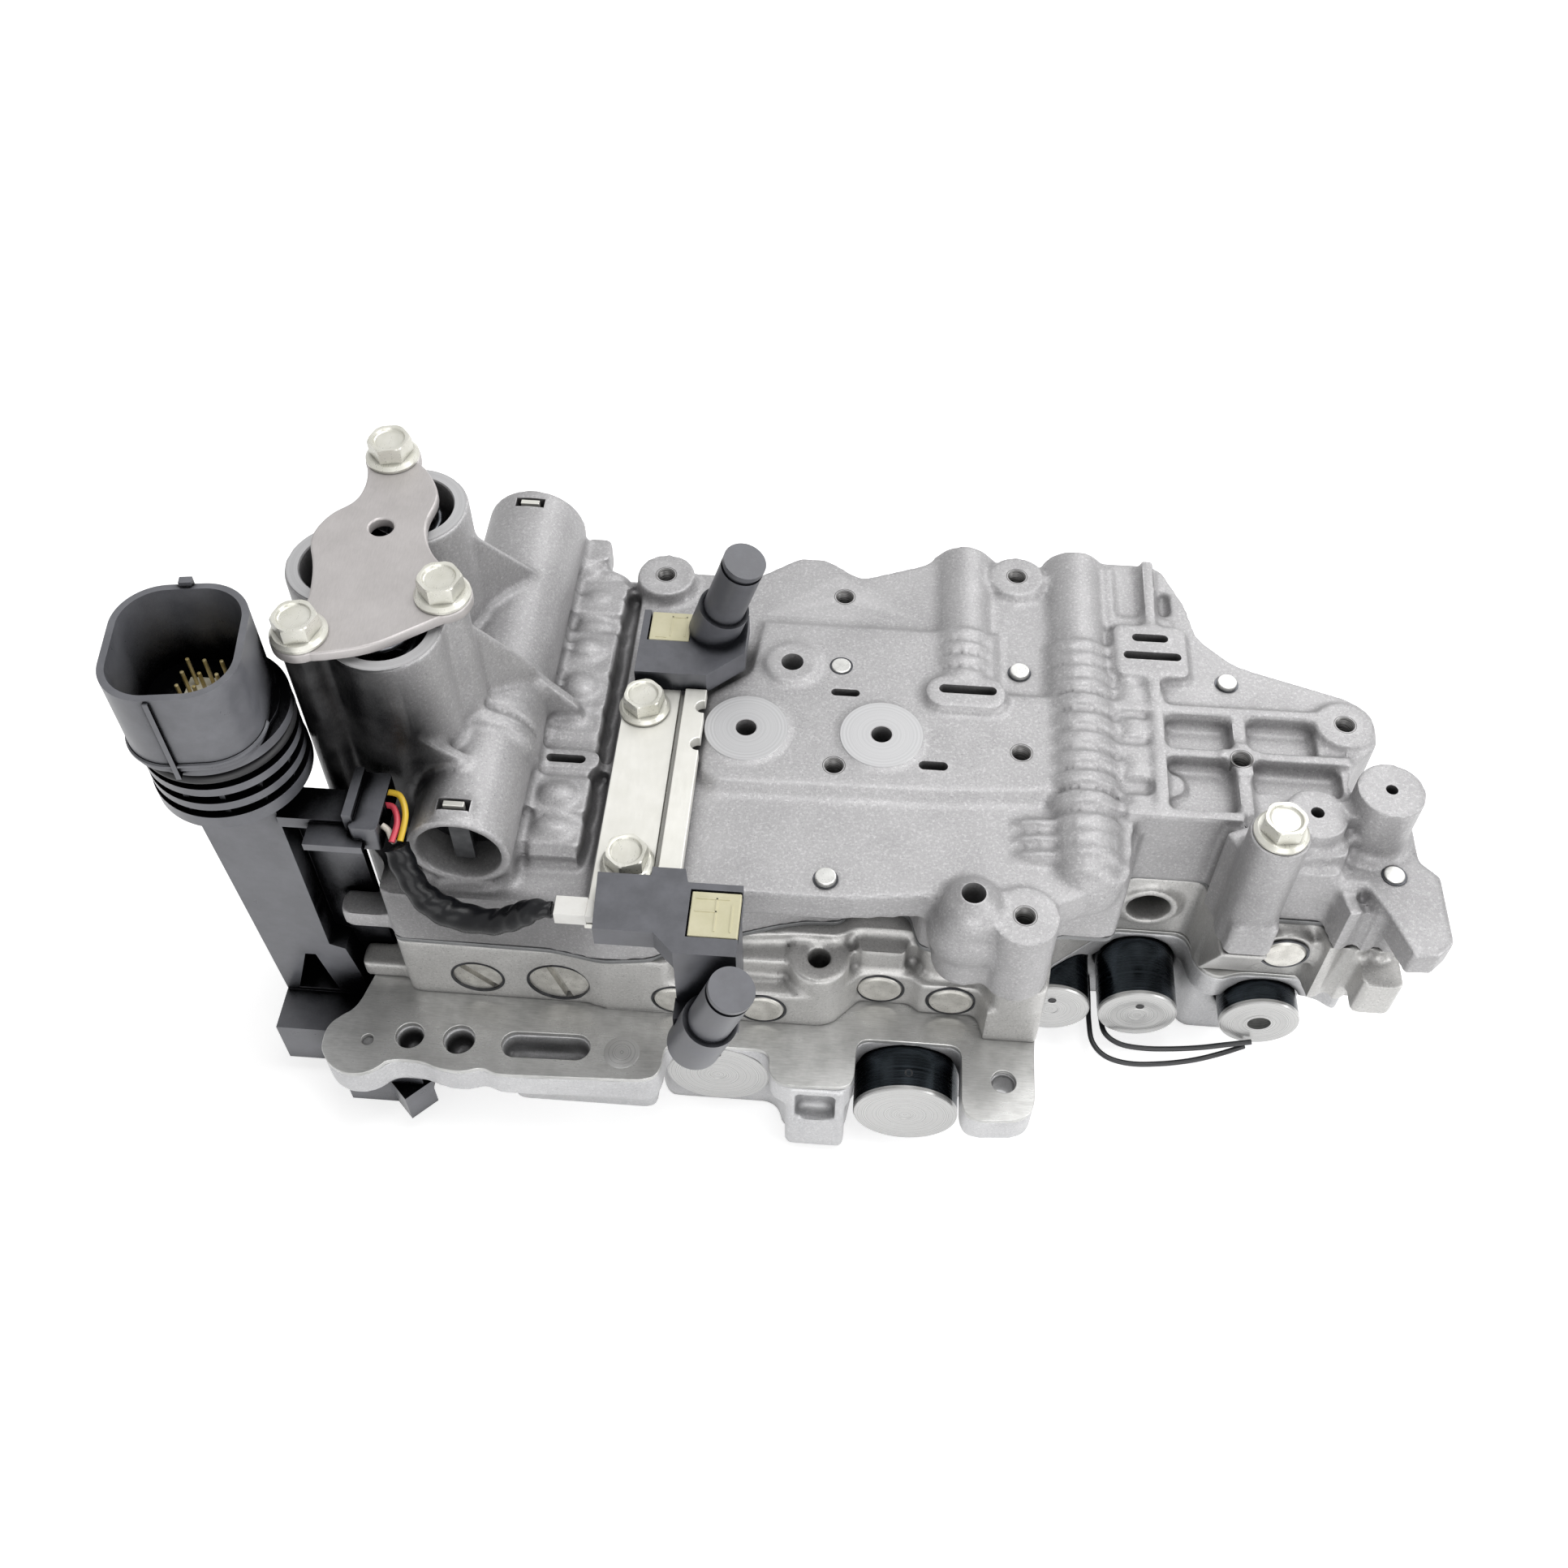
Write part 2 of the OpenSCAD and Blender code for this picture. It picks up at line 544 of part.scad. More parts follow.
module middle_body() {
    color("#99989b") placed() difference() {
        union() {
            slab(eased(concat(middle_front, right_edge, back_edge, left_edge), 3), mid_z0, mid_z1);
            slab([[-48, -39.6], [-28, -39.6], [-12, -40.5], [12, -40.5], [20, -36], [24, -31.5],
                [38, -31.5], [41, -34], [57, -34], [59, -41], [74, -41], [74, 0], [-48, 0]],
                mid_z0, mid_z0 + 15);
            rod([12.3, -32], mid_z0, mid_z1 - 3, 8.4);
            soft_block([-118, -34, mid_z0], [-100, -26, mid_z0 + 6], 2);
            // Wedge under the foot of the case bolt's column
            translate([121, 0, 0]) rotate([90, 0, 90]) linear_extrude(13)
                polygon([[-12.6, mid_z0], [-10, mid_z0], [-10, mid_z1], [-25, mid_z1]]);
            // Cast frames on the front
            soft_block([-11, -34, mid_z0 + 10], [3, -24, mid_z1 - 4], 1.5);
            soft_block([23, -30, mid_z0 + 10], [36, -20, mid_z1 - 2], 1.5);
            for (x = [151, 158, 164])
                rib([x, -12], [x + 2, -20], 3.6, mid_z0, mid_z1);
            soft_block([160, -29, mid_z0 + 8], [171, -10, mid_z1 - 4], 2);
            bar_y(141, mid_z0 + 17.8, -17, -8, 8.2);
            bar_y(105, mid_z0 + 14.4, -3, 0, 8.6);
        }
        // Bores for the plugs along the front
        bar_y(-83, reg_z, front_y - 1, front_y + 14, 7);
        bar_y(reg_x, reg_z, front_y - 1, front_y + reg_depth, reg_r);
        for (p = [[-27, -39.6], [-3, -40.5], [29.5, -31.5], [49.5, -34]])
            bar_y(p[0], mid_z0 + 7.6, p[1] - 1, p[1] + 12, 6.4);
        bar_y(141, mid_z0 + 17.8, -18, -4, 6.2);
        bar_y(105, mid_z0 + 14.4, -4, 16, 6.2);
        rod([12.3, -32], mid_z0 + 8, mid_z1 + 1, 3.2);
        for (p = stack_xy)
            rod(p, 0, top_z, bolt_d / 2 + hole_gap);
        rod(case_xy, mid_z1 - 8, top_z, bolt_d / 2 + 0.05);
    }
}

module lower_plate() {
    color("#a3a19c") placed() difference() {
        union() {
            slab(eased(lower_outline, 4), low_z, mid_z0);
            rod([-114.5, -55], low_z, mid_z0, 10.4);
        }
        rod([-112.5, -54.5], 0, top_z, 1.7);
        rod([-101, -52.3], 0, top_z, 4);
        rod([-87, -52.5], 0, top_z, 4.5);
        pill([-71, -52.8], [-54, -52.4], 4, 0, top_z);
        rod([65, -53.7], 0, top_z, bolt_d / 2 + hole_gap);
        for (p = stack_xy)
            rod(p, 0, top_z, bolt_d / 2 + hole_gap);
    }
}

module solenoid_space(s) {
    bar_y(s[0], s[2], s[1] - 12, s[1] + s[4] + 0.5, s[3] + can_gap);
    bar_y(s[0], s[2], s[1] + s[4], s[1] + s[4] + nose_l, nose_r + nose_gap);
}

module lower_body() {
    color("#c4c5c7") placed() difference() {
        union() {
            slab(eased(lower_outline, 4), low_z - flange_t, low_z);
            rod([-114.5, -55], low_z - flange_t, low_z, 10.4);
            slab(eased(lower_core, 4), 0, low_z - flange_t);
            soft_block([5, -60, 3], [22, -50, low_z - 1], 2);
            soft_block([-72, -60.5, low_z - 16], [-31, -30, low_z - 2], 3);
        }
        for (s = sol)
            solenoid_space(s);
        // Window in the front lug
        block([8, -62, 19], [19, -55, low_z - 3]);
        // Oil ways that show through the plate
        rod([-101, -52.3], low_z - 7, low_z + 1, 3.6);
        rod([-87, -52.5], low_z - 8, low_z + 1, 4);
        pill([-71, -52.8], [-54, -52.4], 3.6, low_z - 7, low_z + 1);
        rod([65, -53.7], -1, low_z + 1, tap_r + 0.4);
        for (p = stack_xy) {
            rod(p, -1, low_z + 1, bolt_d / 2 + hole_gap);
            rod(p, -1, stack_seat, bolt_flange_d / 2 + 1);
        }
        // Cast pockets in the underside
        soft_block([-90, -8, -1], [-70, 30, 14], 3);
        soft_block([-46, 26, -1], [-4, 62, 14], 3);
        soft_block([24, 22, -1], [58, 72, 14], 3);
        soft_block([76, 44, -1], [104, 76, 14], 3);
    }
}

// Fasteners and pins

module stack_bolts() {
    color("#b9b6a8") placed() for (p = stack_xy)
        translate([p[0], p[1], stack_seat]) rotate([180, 0, 0]) flange_bolt(stack_tip - stack_seat);
}

module dowel_pins() {
    color("#d8d8d6") on_top() {
        for (p = pin_xy)
            rod(p, skin - 6.5, p[2], pin_r - 0.01);
        rod(end_pin, end_z - 5.5, end_z + 0.6, pin_r - 0.01);
    }
}

module cover_bolts() {
    color("#d3d0c0") on_top() for (p = cover_xy)
        translate([p[0], p[1], seat_z + cover_t]) rotate([0, 0, 12]) flange_bolt(15);
}

module bracket_bolts() {
    color("#d3d0c0") on_top() for (p = bracket_xy)
        translate([p[0], p[1], bracket_z + bracket_t]) rotate([0, 0, 20]) flange_bolt(13);
}

module case_bolt() {
    color("#d3d0c0") on_top() translate([case_xy[0], case_xy[1], case_seat]) rotate([0, 0, 8])
        flange_bolt(case_seat + upper_h + plate_t + 7);
}

// Accumulators

module accumulator_cover() {
    color("#b7b3b3") on_top() difference() {
        union() {
            slab(eased(cover_outline, 6), seat_z, seat_z + cover_t);
            for (p = cover_xy)
                rod(p, seat_z, seat_z + cover_t, 7.2);
        }
        rod([-104.5, 27], seat_z - 1, seat_z + cover_t + 1, 3.1);
        for (p = cover_xy)
            rod(p, seat_z - 1, seat_z + cover_t + 1, bolt_d / 2 + hole_gap);
    }
}

module accumulator_piston(i) {
    color("#9fa0a3") on_top() translate([acc_xy[i][0], acc_xy[i][1], piston_z]) difference() {
        cylinder(h = piston_h, r = acc_r - run_gap);
        translate([0, 0, piston_wall]) cylinder(h = piston_h, r = acc_r - piston_wall - 0.6);
        translate([0, 0, piston_h - 8]) difference() {
            cylinder(h = 2.4, r = acc_r + 1);
            translate([0, 0, -1]) cylinder(h = 5, r = acc_r - 1.4);
        }
    }
}

module accumulator_spring(i) {
    color("#77797c") on_top() translate([acc_xy[i][0], acc_xy[i][1], acc_spring_z])
        coil_spring(acc_spring_h, acc_spring_r, 1.1, 6);
}

// Spool valves

module front_spool() {
    color("#a9abae") on_top() translate([tube_x, tube_y0 + plug_in + plug_t + spring_l - 0.3, tube_z])
        spool(tube_r - run_gap, tube_spool_l);
}

module front_spring() {
    color("#77797c") on_top() translate([tube_x, tube_y0 + plug_in + plug_t, tube_z]) rotate([-90, 0, 0])
        coil_spring(spring_l - 0.3, tube_r - 3.6, 0.9, 4);
}

module rear_spool() {
    color("#a9abae") on_top() translate([tube_x, tube_y1 - tube_depth + 0.3, tube_z])
        spool(tube_r - run_gap, tube_spool_l);
}

module rear_spring() {
    color("#77797c") on_top() translate([tube_x, tube_y1 - plug_in - plug_t - spring_l + 0.3, tube_z])
        rotate([-90, 0, 0]) coil_spring(spring_l - 0.3, tube_r - 3.6, 0.9, 4);
}

module tube_plug() {
    // Disc with a web that bears on the retainer clip
    rotate([-90, 0, 0]) translate([0, 0, plug_in]) cylinder(h = plug_t, r = tube_r - 0.02);
    block([-1.5, clip_in + clip_t / 2, -9], [1.5, plug_in + 1, 9]);
}

module tube_plugs() {
    color("#6f7073") on_top() {
        translate([tube_x, tube_y0, tube_z]) tube_plug();
        translate([tube_x, tube_y1, tube_z]) rotate([0, 0, 180]) tube_plug();
    }
}

module retainer_clips() {
    color("#c9c8c2") on_top() for (y = [tube_y0 + clip_in, tube_y1 - clip_in])
        block([tube_x - 2.7, y - clip_t / 2, tube_z - 8],
            [tube_x + 2.7, y + clip_t / 2, tube_z + tube_r + tube_wall]);
}

module hump_spool(x, r, depth) {
    color("#a9abae") on_top() translate([x, hump_y1 - depth + 0.3, -hump_z])
        spool(r - run_gap, depth - hump_plug_t - hump_spring_l);
}

module hump_spring(x, r) {
    color("#77797c") on_top() translate([x, hump_y1 - hump_plug_t - hump_spring_l + 0.3, -hump_z])
        rotate([-90, 0, 0]) coil_spring(hump_spring_l - 0.3, r - 2.4, 0.7, 5);
}

module hump_plugs() {
    color("#b4b5b7") on_top() for (p = [[hump1_x, hump1_r], [hump2_x, hump2_r]])
        bar_y(p[0], -hump_z, hump_y1 - hump_plug_t, hump_y1 - 0.8, p[1] - 0.02);
}

module regulator_spool() {
    color("#a9abae") placed() translate([reg_x, front_y + reg_plug_t + spring_l - 0.3, reg_z])
        spool(reg_r - run_gap, reg_depth - reg_plug_t - spring_l);
}

module regulator_spring() {
    color("#77797c") placed() translate([reg_x, front_y + reg_plug_t, reg_z]) rotate([-90, 0, 0])
        coil_spring(spring_l - 0.3, reg_r - 3, 0.8, 4);
}

module slotted_plug(x, r, turn) {
    color("#bdbab2") placed() difference() {
        bar_y(x, reg_z, front_y + 0.6, front_y + reg_plug_t, r - 0.02);
        translate([x, front_y, reg_z]) rotate([0, turn, 0]) cube([2.2, 5, 3 * r], center = true);
    }
}

module front_plugs() {
    color("#d9d9d7") placed() for (p = [[-27, -39.6], [-3, -40.5], [29.5, -31.5], [49.5, -34]])
        bar_y(p[0], mid_z0 + 7.6, p[1] - 0.4, p[1] + 10, 6.38);
}

module end_plug() {
    color("#d9d9d7") placed() bar_y(141, mid_z0 + 17.8, -18.2, -6, 6.18);
}

// Speed sensors on their bracket

module sensor_bracket() {
    color("#d5d2c6") on_top() difference() {
        union() {
            block([-46.5, -50, bracket_z], [-31.2, 30.5, bracket_top]);
            // Stiffening fold along the right edge
            block([-31.6, -34, bracket_z], [-29.4, 28.9, bracket_z + 0.8]);
            block([-29.8, -34, bracket_z], [-23.8, 28.9, bracket_top + 1.6]);
        }
        for (y = [22.5, 9.2])
            rod([-24.2, y], -1, 9, 2.1);
        for (p = bracket_xy)
            rod(p, -9, 9, bolt_d / 2 + hole_gap);
    }
}

module sensor_barrel(l) {
    rotate([barrel_tip, barrel_lean, 0]) {
        cylinder(h = l - 3, r = barrel_r);
        cylinder(h = l, r = barrel_r - 0.5);
        translate([0, 0, l - 1.6]) cylinder(h = 1.6, r = barrel_r);
        cylinder(h = 0.45 * l, r = barrel_r + 1.3);
    }
}

module sensor_1() {
    color("#3a3b40") on_top() difference() {
        union() {
            slab([[-44, 29.3], [-24, 29.3], [-14, 38.5], [-14, 53], [-44, 53]], bracket_top, 9);
            translate([-25.5, 48, 2]) sensor_barrel(40);
            block([-28, 43, skin], [-16, 53, 4]);
        }
        block([-42, 41.5, 6.4], [-30, 55, 10]);
    }
}

module sensor_1_window() {
    color("#cfc79b") on_top() block([-41.6, 41.8, 6.4], [-30.2, 52.6, 8.8]);
}

module sensor_2() {
    color("#3c3d42") on_top() difference() {
        union() {
            slab([[-43, -55.5], [-28, -55.5], [-22.5, -61], [-7, -61], [-7, -40], [-21, -40], [-22, -36],
                [-30.5, -36], [-30.5, -38.6], [-44, -38.6]], bracket_top, 9);
            block([-22.5, -61, -28], [-7, -46, 6]);
            translate([-18, -66, -26]) sensor_barrel(38);
            block([-23, -66, -27], [-13, -60, -14]);
            block([-30, -38, skin], [-24, -35.2, 4]);
        }
        block([-20, -56, 6.4], [-6, -42, 10]);
        block([-45, -53, 4], [-39, -44, 7.4]);
    }
}

module sensor_2_window() {
    color("#cfc79b") on_top() block([-19.6, -55.6, 6.4], [-7.2, -42.4, 8.8]);
}

module sensor_plug() {
    color("#e4e3de") on_top() {
        block([-53.5, -51.2, 3.4], [-45.5, -45.6, 7.6]);
        block([-46, -51, 4.3], [-40, -45.8, 7.1]);
    }
}

module sensor_lead() {
    color("#26272b") on_top() swept_tube(route(lead_route, 5), lead_r, 10);
}

module lead_wire_yellow() {
    color("#d3b53a") on_top() swept_tube(route(yellow_route, 5), wire_r);
}

module lead_wire_red() {
    color("#c94a58") on_top() swept_tube(route(red_route, 5), wire_r);
}

module lead_wire_white() {
    color("#d8d2c8") on_top() swept_tube(route(white_route, 5), wire_r);
}

// Wiring tower

module branch_housing() {
    color("#222327") on_top() difference() {
        union() {
            block([-117.5, -41, 13.4], [-102.5, -32.5, 15.9]);
            soft_block([-105.6, -38.5, 12], [-98.4, -20.5, 20.5], 1);
            block([-107.2, -36.5, 12.2], [-104.8, -21, 23]);
            block([duct_right + 0.1, -34, 13], [-105, -24, 17]);
        }
        for (y = [-26.5, -33])
            block([-101, y - 2.6, 14.5], [-97, y + 2.6, 19.6]);
    }
}

module rounded_square(w, d, r) {
    translate([-w / 2 + r, -d / 2]) square([w - 2 * r, d]);
    translate([-w / 2, -d / 2 + r]) square([w, d - 2 * r]);
    for (x = [-w / 2 + r, w / 2 - r], y = [-d / 2 + r, d / 2 - r])
        translate([x, y]) circle(r);
}

module at_shroud(z) {
    translate([shroud_c[0], shroud_c[1], z]) rotate([0, 0, shroud_turn]) children();
}

module connector_shell() {
    color("#26272a") on_top() difference() {
        union() {
            at_shroud(body_top) linear_extrude(rim_h - body_top)
                rounded_square(shroud_w, shroud_d, shroud_r);
            rod([tower_x, tower_y], tower_z, body_top + 1, collar_r - 2.4);
            rod([tower_x, tower_y], body_top - 3, body_top, collar_r);
            for (z = [6.5, 12])
                rod([tower_x, tower_y], tower_z + z, tower_z + z + 2.6, collar_r);
            rod([tower_x, tower_y], tower_z, tower_z + 4, collar_r + 0.3);
            // Keys outside the shroud
            at_shroud(0) {
                block([-4, -shroud_d / 2 - 0.8, body_top - 2], [-2.8, 0, rim_h - 0.6]);
                block([-1.5, shroud_d / 2 - 1, body_top + 6], [1.5, shroud_d / 2 + 1, rim_h + 1.4]);
            }
        }
        at_shroud(body_top + 0.6) linear_extrude(40)
            rounded_square(shroud_w - 2 * shroud_wall, shroud_d - 2 * shroud_wall, shroud_r - shroud_wall);
        translate([tower_x, tower_y, insert_top - 12]) linear_extrude(20) square([18, 22], center = true);
    }
}

module connector_seal() {
    color("#1b1b1d") on_top() translate([tower_x, tower_y, tower_z + 17.4]) rotate_extrude()
        translate([collar_r - 2.3 + seal_r, 0]) circle(r = seal_r);
}

module connector_insert() {
    color("#d9d2bd") on_top() translate([tower_x, tower_y, insert_top - 11.8]) linear_extrude(11.8)
        square([17.6, 21.6], center = true);
}

module connector_pins() {
    color("#b79a57") on_top() for (i = [-1.5:1.5], j = [-2:2])
        translate([tower_x + 4.2 * i, tower_y + 4.2 * j, insert_top]) cylinder(h = 9, r = 0.5, $fn = 16);
}

module wiring_duct() {
    color("#2b2c2f") on_top() {
        // Front view of the duct, pushed back to its depth
        translate([0, duct_y0 + duct_d, 0]) rotate([90, 0, 0]) linear_extrude(duct_d) difference() {
            polygon([[duct_x - duct_w / 2 - 0.3, tower_z], [duct_right, tower_z], [duct_right, -44],
                [-121.5, -46], [-119.5, -60], [-119.5, -71], [-143.8, -71]]);
            polygon([[-140, -69], [-134, -50], [-131, -50], [-128, -69]]);
        }
        // Web that closes the gap to the castings
        block([duct_right - 1, -25.6, -57], [-110.6, -23, 11.6]);
        block([-144, -46, -88], [-120, duct_y0 + duct_d - 4, -70.5]);
        block([-122, -58, -88], [-99, -33, -72.5]);
        rib([-110, -50], [-100, -60], 9, -88, -76);
        rib([-112, -46], [-104, -46], 10, -76, -70);
    }
}

// Solenoids

module solenoid(s, open_face) {
    color("#a8a9ab") placed() difference() {
        union() {
            bar_y(s[0], s[2], s[1], s[1] + s[4], s[3]);
            bar_y(s[0], s[2], s[1] + s[4] - 1, s[1] + s[4] + nose_l - 1, nose_r);
        }
        bar_y(s[0], s[2], s[1] - 1, s[1] + (open_face ? 7 : 0.6), open_face ? 4.4 : 2.4);
        bar_y(s[0], s[2] + s[3] * 0.6, s[1] - 1, s[1] + 2, 1);
    }
}

module solenoid_leads() {
    color("#1e2024") on_top() {
        swept_tube(route(loop_a, 5), wire_r);
        swept_tube(route(loop_b, 5), wire_r);
    }
}

upper_body();
upper_plate();
middle_body();
lower_plate();
lower_body();
stack_bolts();
dowel_pins();
accumulator_cover();
cover_bolts();
accumulator_piston(0);  // accumulator_piston_1
accumulator_piston(1);  // accumulator_piston_2
accumulator_piston(2);  // accumulator_piston_3
accumulator_spring(0);  // accumulator_spring_1
accumulator_spring(1);  // accumulator_spring_2
accumulator_spring(2);  // accumulator_spring_3
front_spool();
front_spring();
rear_spool();
rear_spring();
tube_plugs();
retainer_clips();
hump_spool(hump1_x, hump1_r, hump1_depth);  // hump_spool_1
hump_spring(hump1_x, hump1_r);  // hump_spring_1
hump_spool(hump2_x, hump2_r, hump2_depth);  // hump_spool_2
hump_spring(hump2_x, hump2_r);  // hump_spring_2
hump_plugs();
regulator_spool();
regulator_spring();
slotted_plug(-83, 7, -40);  // slotted_plug_1
slotted_plug(reg_x, reg_r, -15);  // slotted_plug_2
front_plugs();
end_plug();
sensor_bracket();
bracket_bolts();
case_bolt();
sensor_1();
sensor_1_window();
sensor_2();
sensor_2_window();
sensor_plug();
sensor_lead();
lead_wire_yellow();
lead_wire_red();
lead_wire_white();
branch_housing();
connector_shell();
connector_seal();
connector_insert();
connector_pins();
wiring_duct();
solenoid(sol[0], false);  // solenoid_1
solenoid(sol[1], false);  // solenoid_2
solenoid(sol[2], false);  // solenoid_3
solenoid(sol[3], false);  // solenoid_4
solenoid(sol[4], true);  // solenoid_5
solenoid_leads();
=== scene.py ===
"""Transmission valve body: cast shapes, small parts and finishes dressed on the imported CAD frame."""
import math

import bmesh
import bpy
import numpy as np
from mathutils import Matrix, Vector


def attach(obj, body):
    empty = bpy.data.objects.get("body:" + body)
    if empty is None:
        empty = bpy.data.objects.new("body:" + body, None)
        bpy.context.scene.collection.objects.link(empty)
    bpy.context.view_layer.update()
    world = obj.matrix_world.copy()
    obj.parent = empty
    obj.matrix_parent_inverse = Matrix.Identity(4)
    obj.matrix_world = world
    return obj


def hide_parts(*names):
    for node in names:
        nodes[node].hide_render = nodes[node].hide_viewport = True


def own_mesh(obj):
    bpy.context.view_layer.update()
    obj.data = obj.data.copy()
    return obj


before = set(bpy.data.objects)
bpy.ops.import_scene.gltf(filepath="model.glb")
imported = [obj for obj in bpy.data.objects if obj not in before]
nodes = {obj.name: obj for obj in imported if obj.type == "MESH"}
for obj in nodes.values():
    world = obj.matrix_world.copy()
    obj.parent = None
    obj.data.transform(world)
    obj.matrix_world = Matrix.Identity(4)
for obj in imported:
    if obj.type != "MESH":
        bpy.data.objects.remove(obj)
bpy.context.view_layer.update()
scene = bpy.context.scene

MM = 0.001
# The castings are measured in mm from a point on the top machined face; this is that point in the frame.
TOP_POINT = Vector((-10.3, -9.3, 96.0))
TO_FRONT = Matrix.Rotation(math.radians(90), 4, "X")
TO_BACK = Matrix.Rotation(math.radians(-90), 4, "X")
# An edge that turns by more degrees than this gets a bevel.
SHARP = 35


def at(x, y, z):
    """Place in the frame, in metres, of a point in mm."""
    return (TOP_POINT + Vector((x, y, z))) * MM


def stand(x, y, z, turn=Matrix()):
    """Places a shape drawn in mm about its own origin."""
    return Matrix.Translation(at(x, y, z)) @ turn @ Matrix.Scale(MM, 4)


# Shapes


def lathe(bm, place, profile, segments=48, hex_half=0.0):
    """Turns (radius, height) pairs about local Z. A third entry in a pair trims that ring to the hexagon."""
    uv = bm.loops.layers.uv.verify()
    rings, run, last = [], [], None
    for point in profile:
        radius, height = point[:2]
        step = 0.0 if last is None else math.dist(last, (radius, height))
        run.append((run[-1] if run else 0.0) + step)
        last = (radius, height)
        ring = []
        for k in range(segments if radius else 1):
            angle = 2 * math.pi * k / segments
            r = radius
            if len(point) > 2:
                r = min(radius, hex_half / math.cos(angle % (math.pi / 3) - math.pi / 6))
            ring.append(bm.verts.new(place @ Vector((r * math.cos(angle), r * math.sin(angle), height))))
        rings.append(ring)
    for i in range(len(rings) - 1):
        low, high = rings[i], rings[i + 1]
        if len(low) == 1 and len(high) == 1:
            continue
        for k in range(segments):
            corners = [(low, k, run[i]), (low, k + 1, run[i]), (high, k + 1, run[i + 1]),
                       (high, k, run[i + 1])]
            kept = {}
            for ring, n, v in corners:
                kept.setdefault(ring[n % len(ring)], (n / segments, v))
            face = bm.faces.new(list(kept))
            for loop, spot in zip(face.loops, kept.values()):
                loop[uv].uv = spot


def box(bm, low, high):
    """Block between two corners in mm."""
    made = bmesh.ops.create_cube(bm, size=1.0)["verts"]
    a, b = at(*low), at(*high)
    size = Matrix.Diagonal((*(b - a), 1.0))
    bmesh.ops.transform(bm, matrix=Matrix.Translation((a + b) / 2) @ size, verts=made)


def prism(bm, foot, low, rim, high):
    """Solid between two rings of as many (x, y) points, at two heights in mm."""
    lower = [bm.verts.new(at(x, y, low)) for x, y in foot]
    upper = [bm.verts.new(at(x, y, high)) for x, y in rim]
    bm.faces.new(list(reversed(lower)))
    bm.faces.new(upper)
    for k in range(len(rim)):
        j = (k + 1) % len(rim)
        bm.faces.new((lower[k], lower[j], upper[j], upper[k]))


def ball(bm, centre, radii):
    """Ellipsoid with its three radii in mm."""
    size = Matrix.Diagonal((*[r * MM for r in radii], 1.0))
    bmesh.ops.create_icosphere(bm, subdivisions=4, radius=1.0, matrix=Matrix.Translation(at(*centre)) @ size)


def smooth_route(points, steps):
    """Points on a smooth curve through given points, the same curve that the CAD uses."""
    p = [Vector(q) for q in points]
    curve = []
    for i in range(len(p) - 1):
        a, b, c, d = p[max(i - 1, 0)], p[i], p[i + 1], p[min(i + 2, len(p) - 1)]
        for k in range(steps):
            t = k / steps
            curve.append(0.5 * (2 * b + (c - a) * t + (2 * a - 5 * b + 4 * c - d) * t * t
                                + (3 * b - a - 3 * c + d) * t * t * t))
    return curve + [p[-1]]


def tube(bm, path, radius, segments):
    """Closed tube along points in mm; radius is a number or a function of (share of length, angle)."""
    uv = bm.loops.layers.uv.verify()
    rings, side = [], Vector((0.3, 0.2, 1.0))
    for i, p in enumerate(path):
        ahead = (path[min(i + 1, len(path) - 1)] - path[max(i - 1, 0)]).normalized()
        side = (side - ahead * side.dot(ahead)).normalized()
        across = ahead.cross(side)
        ring = []
        for k in range(segments):
            angle = 2 * math.pi * k / segments
            r = radius(i / (len(path) - 1), angle) if callable(radius) else radius
            q = p + (side * math.cos(angle) + across * math.sin(angle)) * r
            ring.append(bm.verts.new(at(*q)))
        rings.append(ring)
    for i in range(len(rings) - 1):
        for k in range(segments):
            j = (k + 1) % segments
            face = bm.faces.new((rings[i][k], rings[i][j], rings[i + 1][j], rings[i + 1][k]))
            for loop, spot in zip(face.loops, ((k, i), (k + 1, i), (k + 1, i + 1), (k, i + 1))):
                loop[uv].uv = (spot[0] / segments, spot[1] / (len(rings) - 1))
    bm.faces.new(list(reversed(rings[0])))
    bm.faces.new(rings[-1])


def close_mesh(name, bm):
    """Mesh of what was built, with its seams joined and its faces turned outwards."""
    bmesh.ops.remove_doubles(bm, verts=bm.verts, dist=1e-7)
    bmesh.ops.recalc_face_normals(bm, faces=bm.faces)
    mesh = bpy.data.meshes.new(name)
    bm.to_mesh(mesh)
    bm.free()
    return mesh


def show(name, shape, material, stands_for=(), body="housing", angle=32):
    """Makes a shown piece of a mesh or bmesh; it rides on a body and stands for CAD nodes."""
    mesh = close_mesh(name, shape) if isinstance(shape, bmesh.types.BMesh) else shape
    mesh.shade_smooth()
    mesh.set_sharp_from_angle(angle=math.radians(angle))
    mesh.materials.clear()
    mesh.materials.append(material)
    obj = bpy.data.objects.new(name, mesh)
    scene.collection.objects.link(obj)
    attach(obj, body)
    if stands_for:
        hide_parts(*stands_for)
    return obj


def dress(node, material, bevel):
    """Gives a CAD node its finish, and softens its moulded or pressed edges by a bevel in mm."""
    obj = nodes[node]
    obj.data.materials.clear()
    obj.data.materials.append(material)
    weld = obj.modifiers.new("weld", "WELD")
    weld.merge_threshold = 1e-6
    if bevel:
        flat = obj.modifiers.new("flat_faces", "DECIMATE")
        flat.decimate_type = "DISSOLVE"
        flat.angle_limit = math.radians(1.0)
        edge = obj.modifiers.new("soft_edges", "BEVEL")
        edge.width = bevel * MM
        edge.segments = 3
        edge.limit_method = "ANGLE"
        edge.angle_limit = math.radians(SHARP)
        edge.use_clamp_overlap = True
    normals = obj.modifiers.new("even_shading", "WEIGHTED_NORMAL")
    normals.keep_sharp = True


# Materials


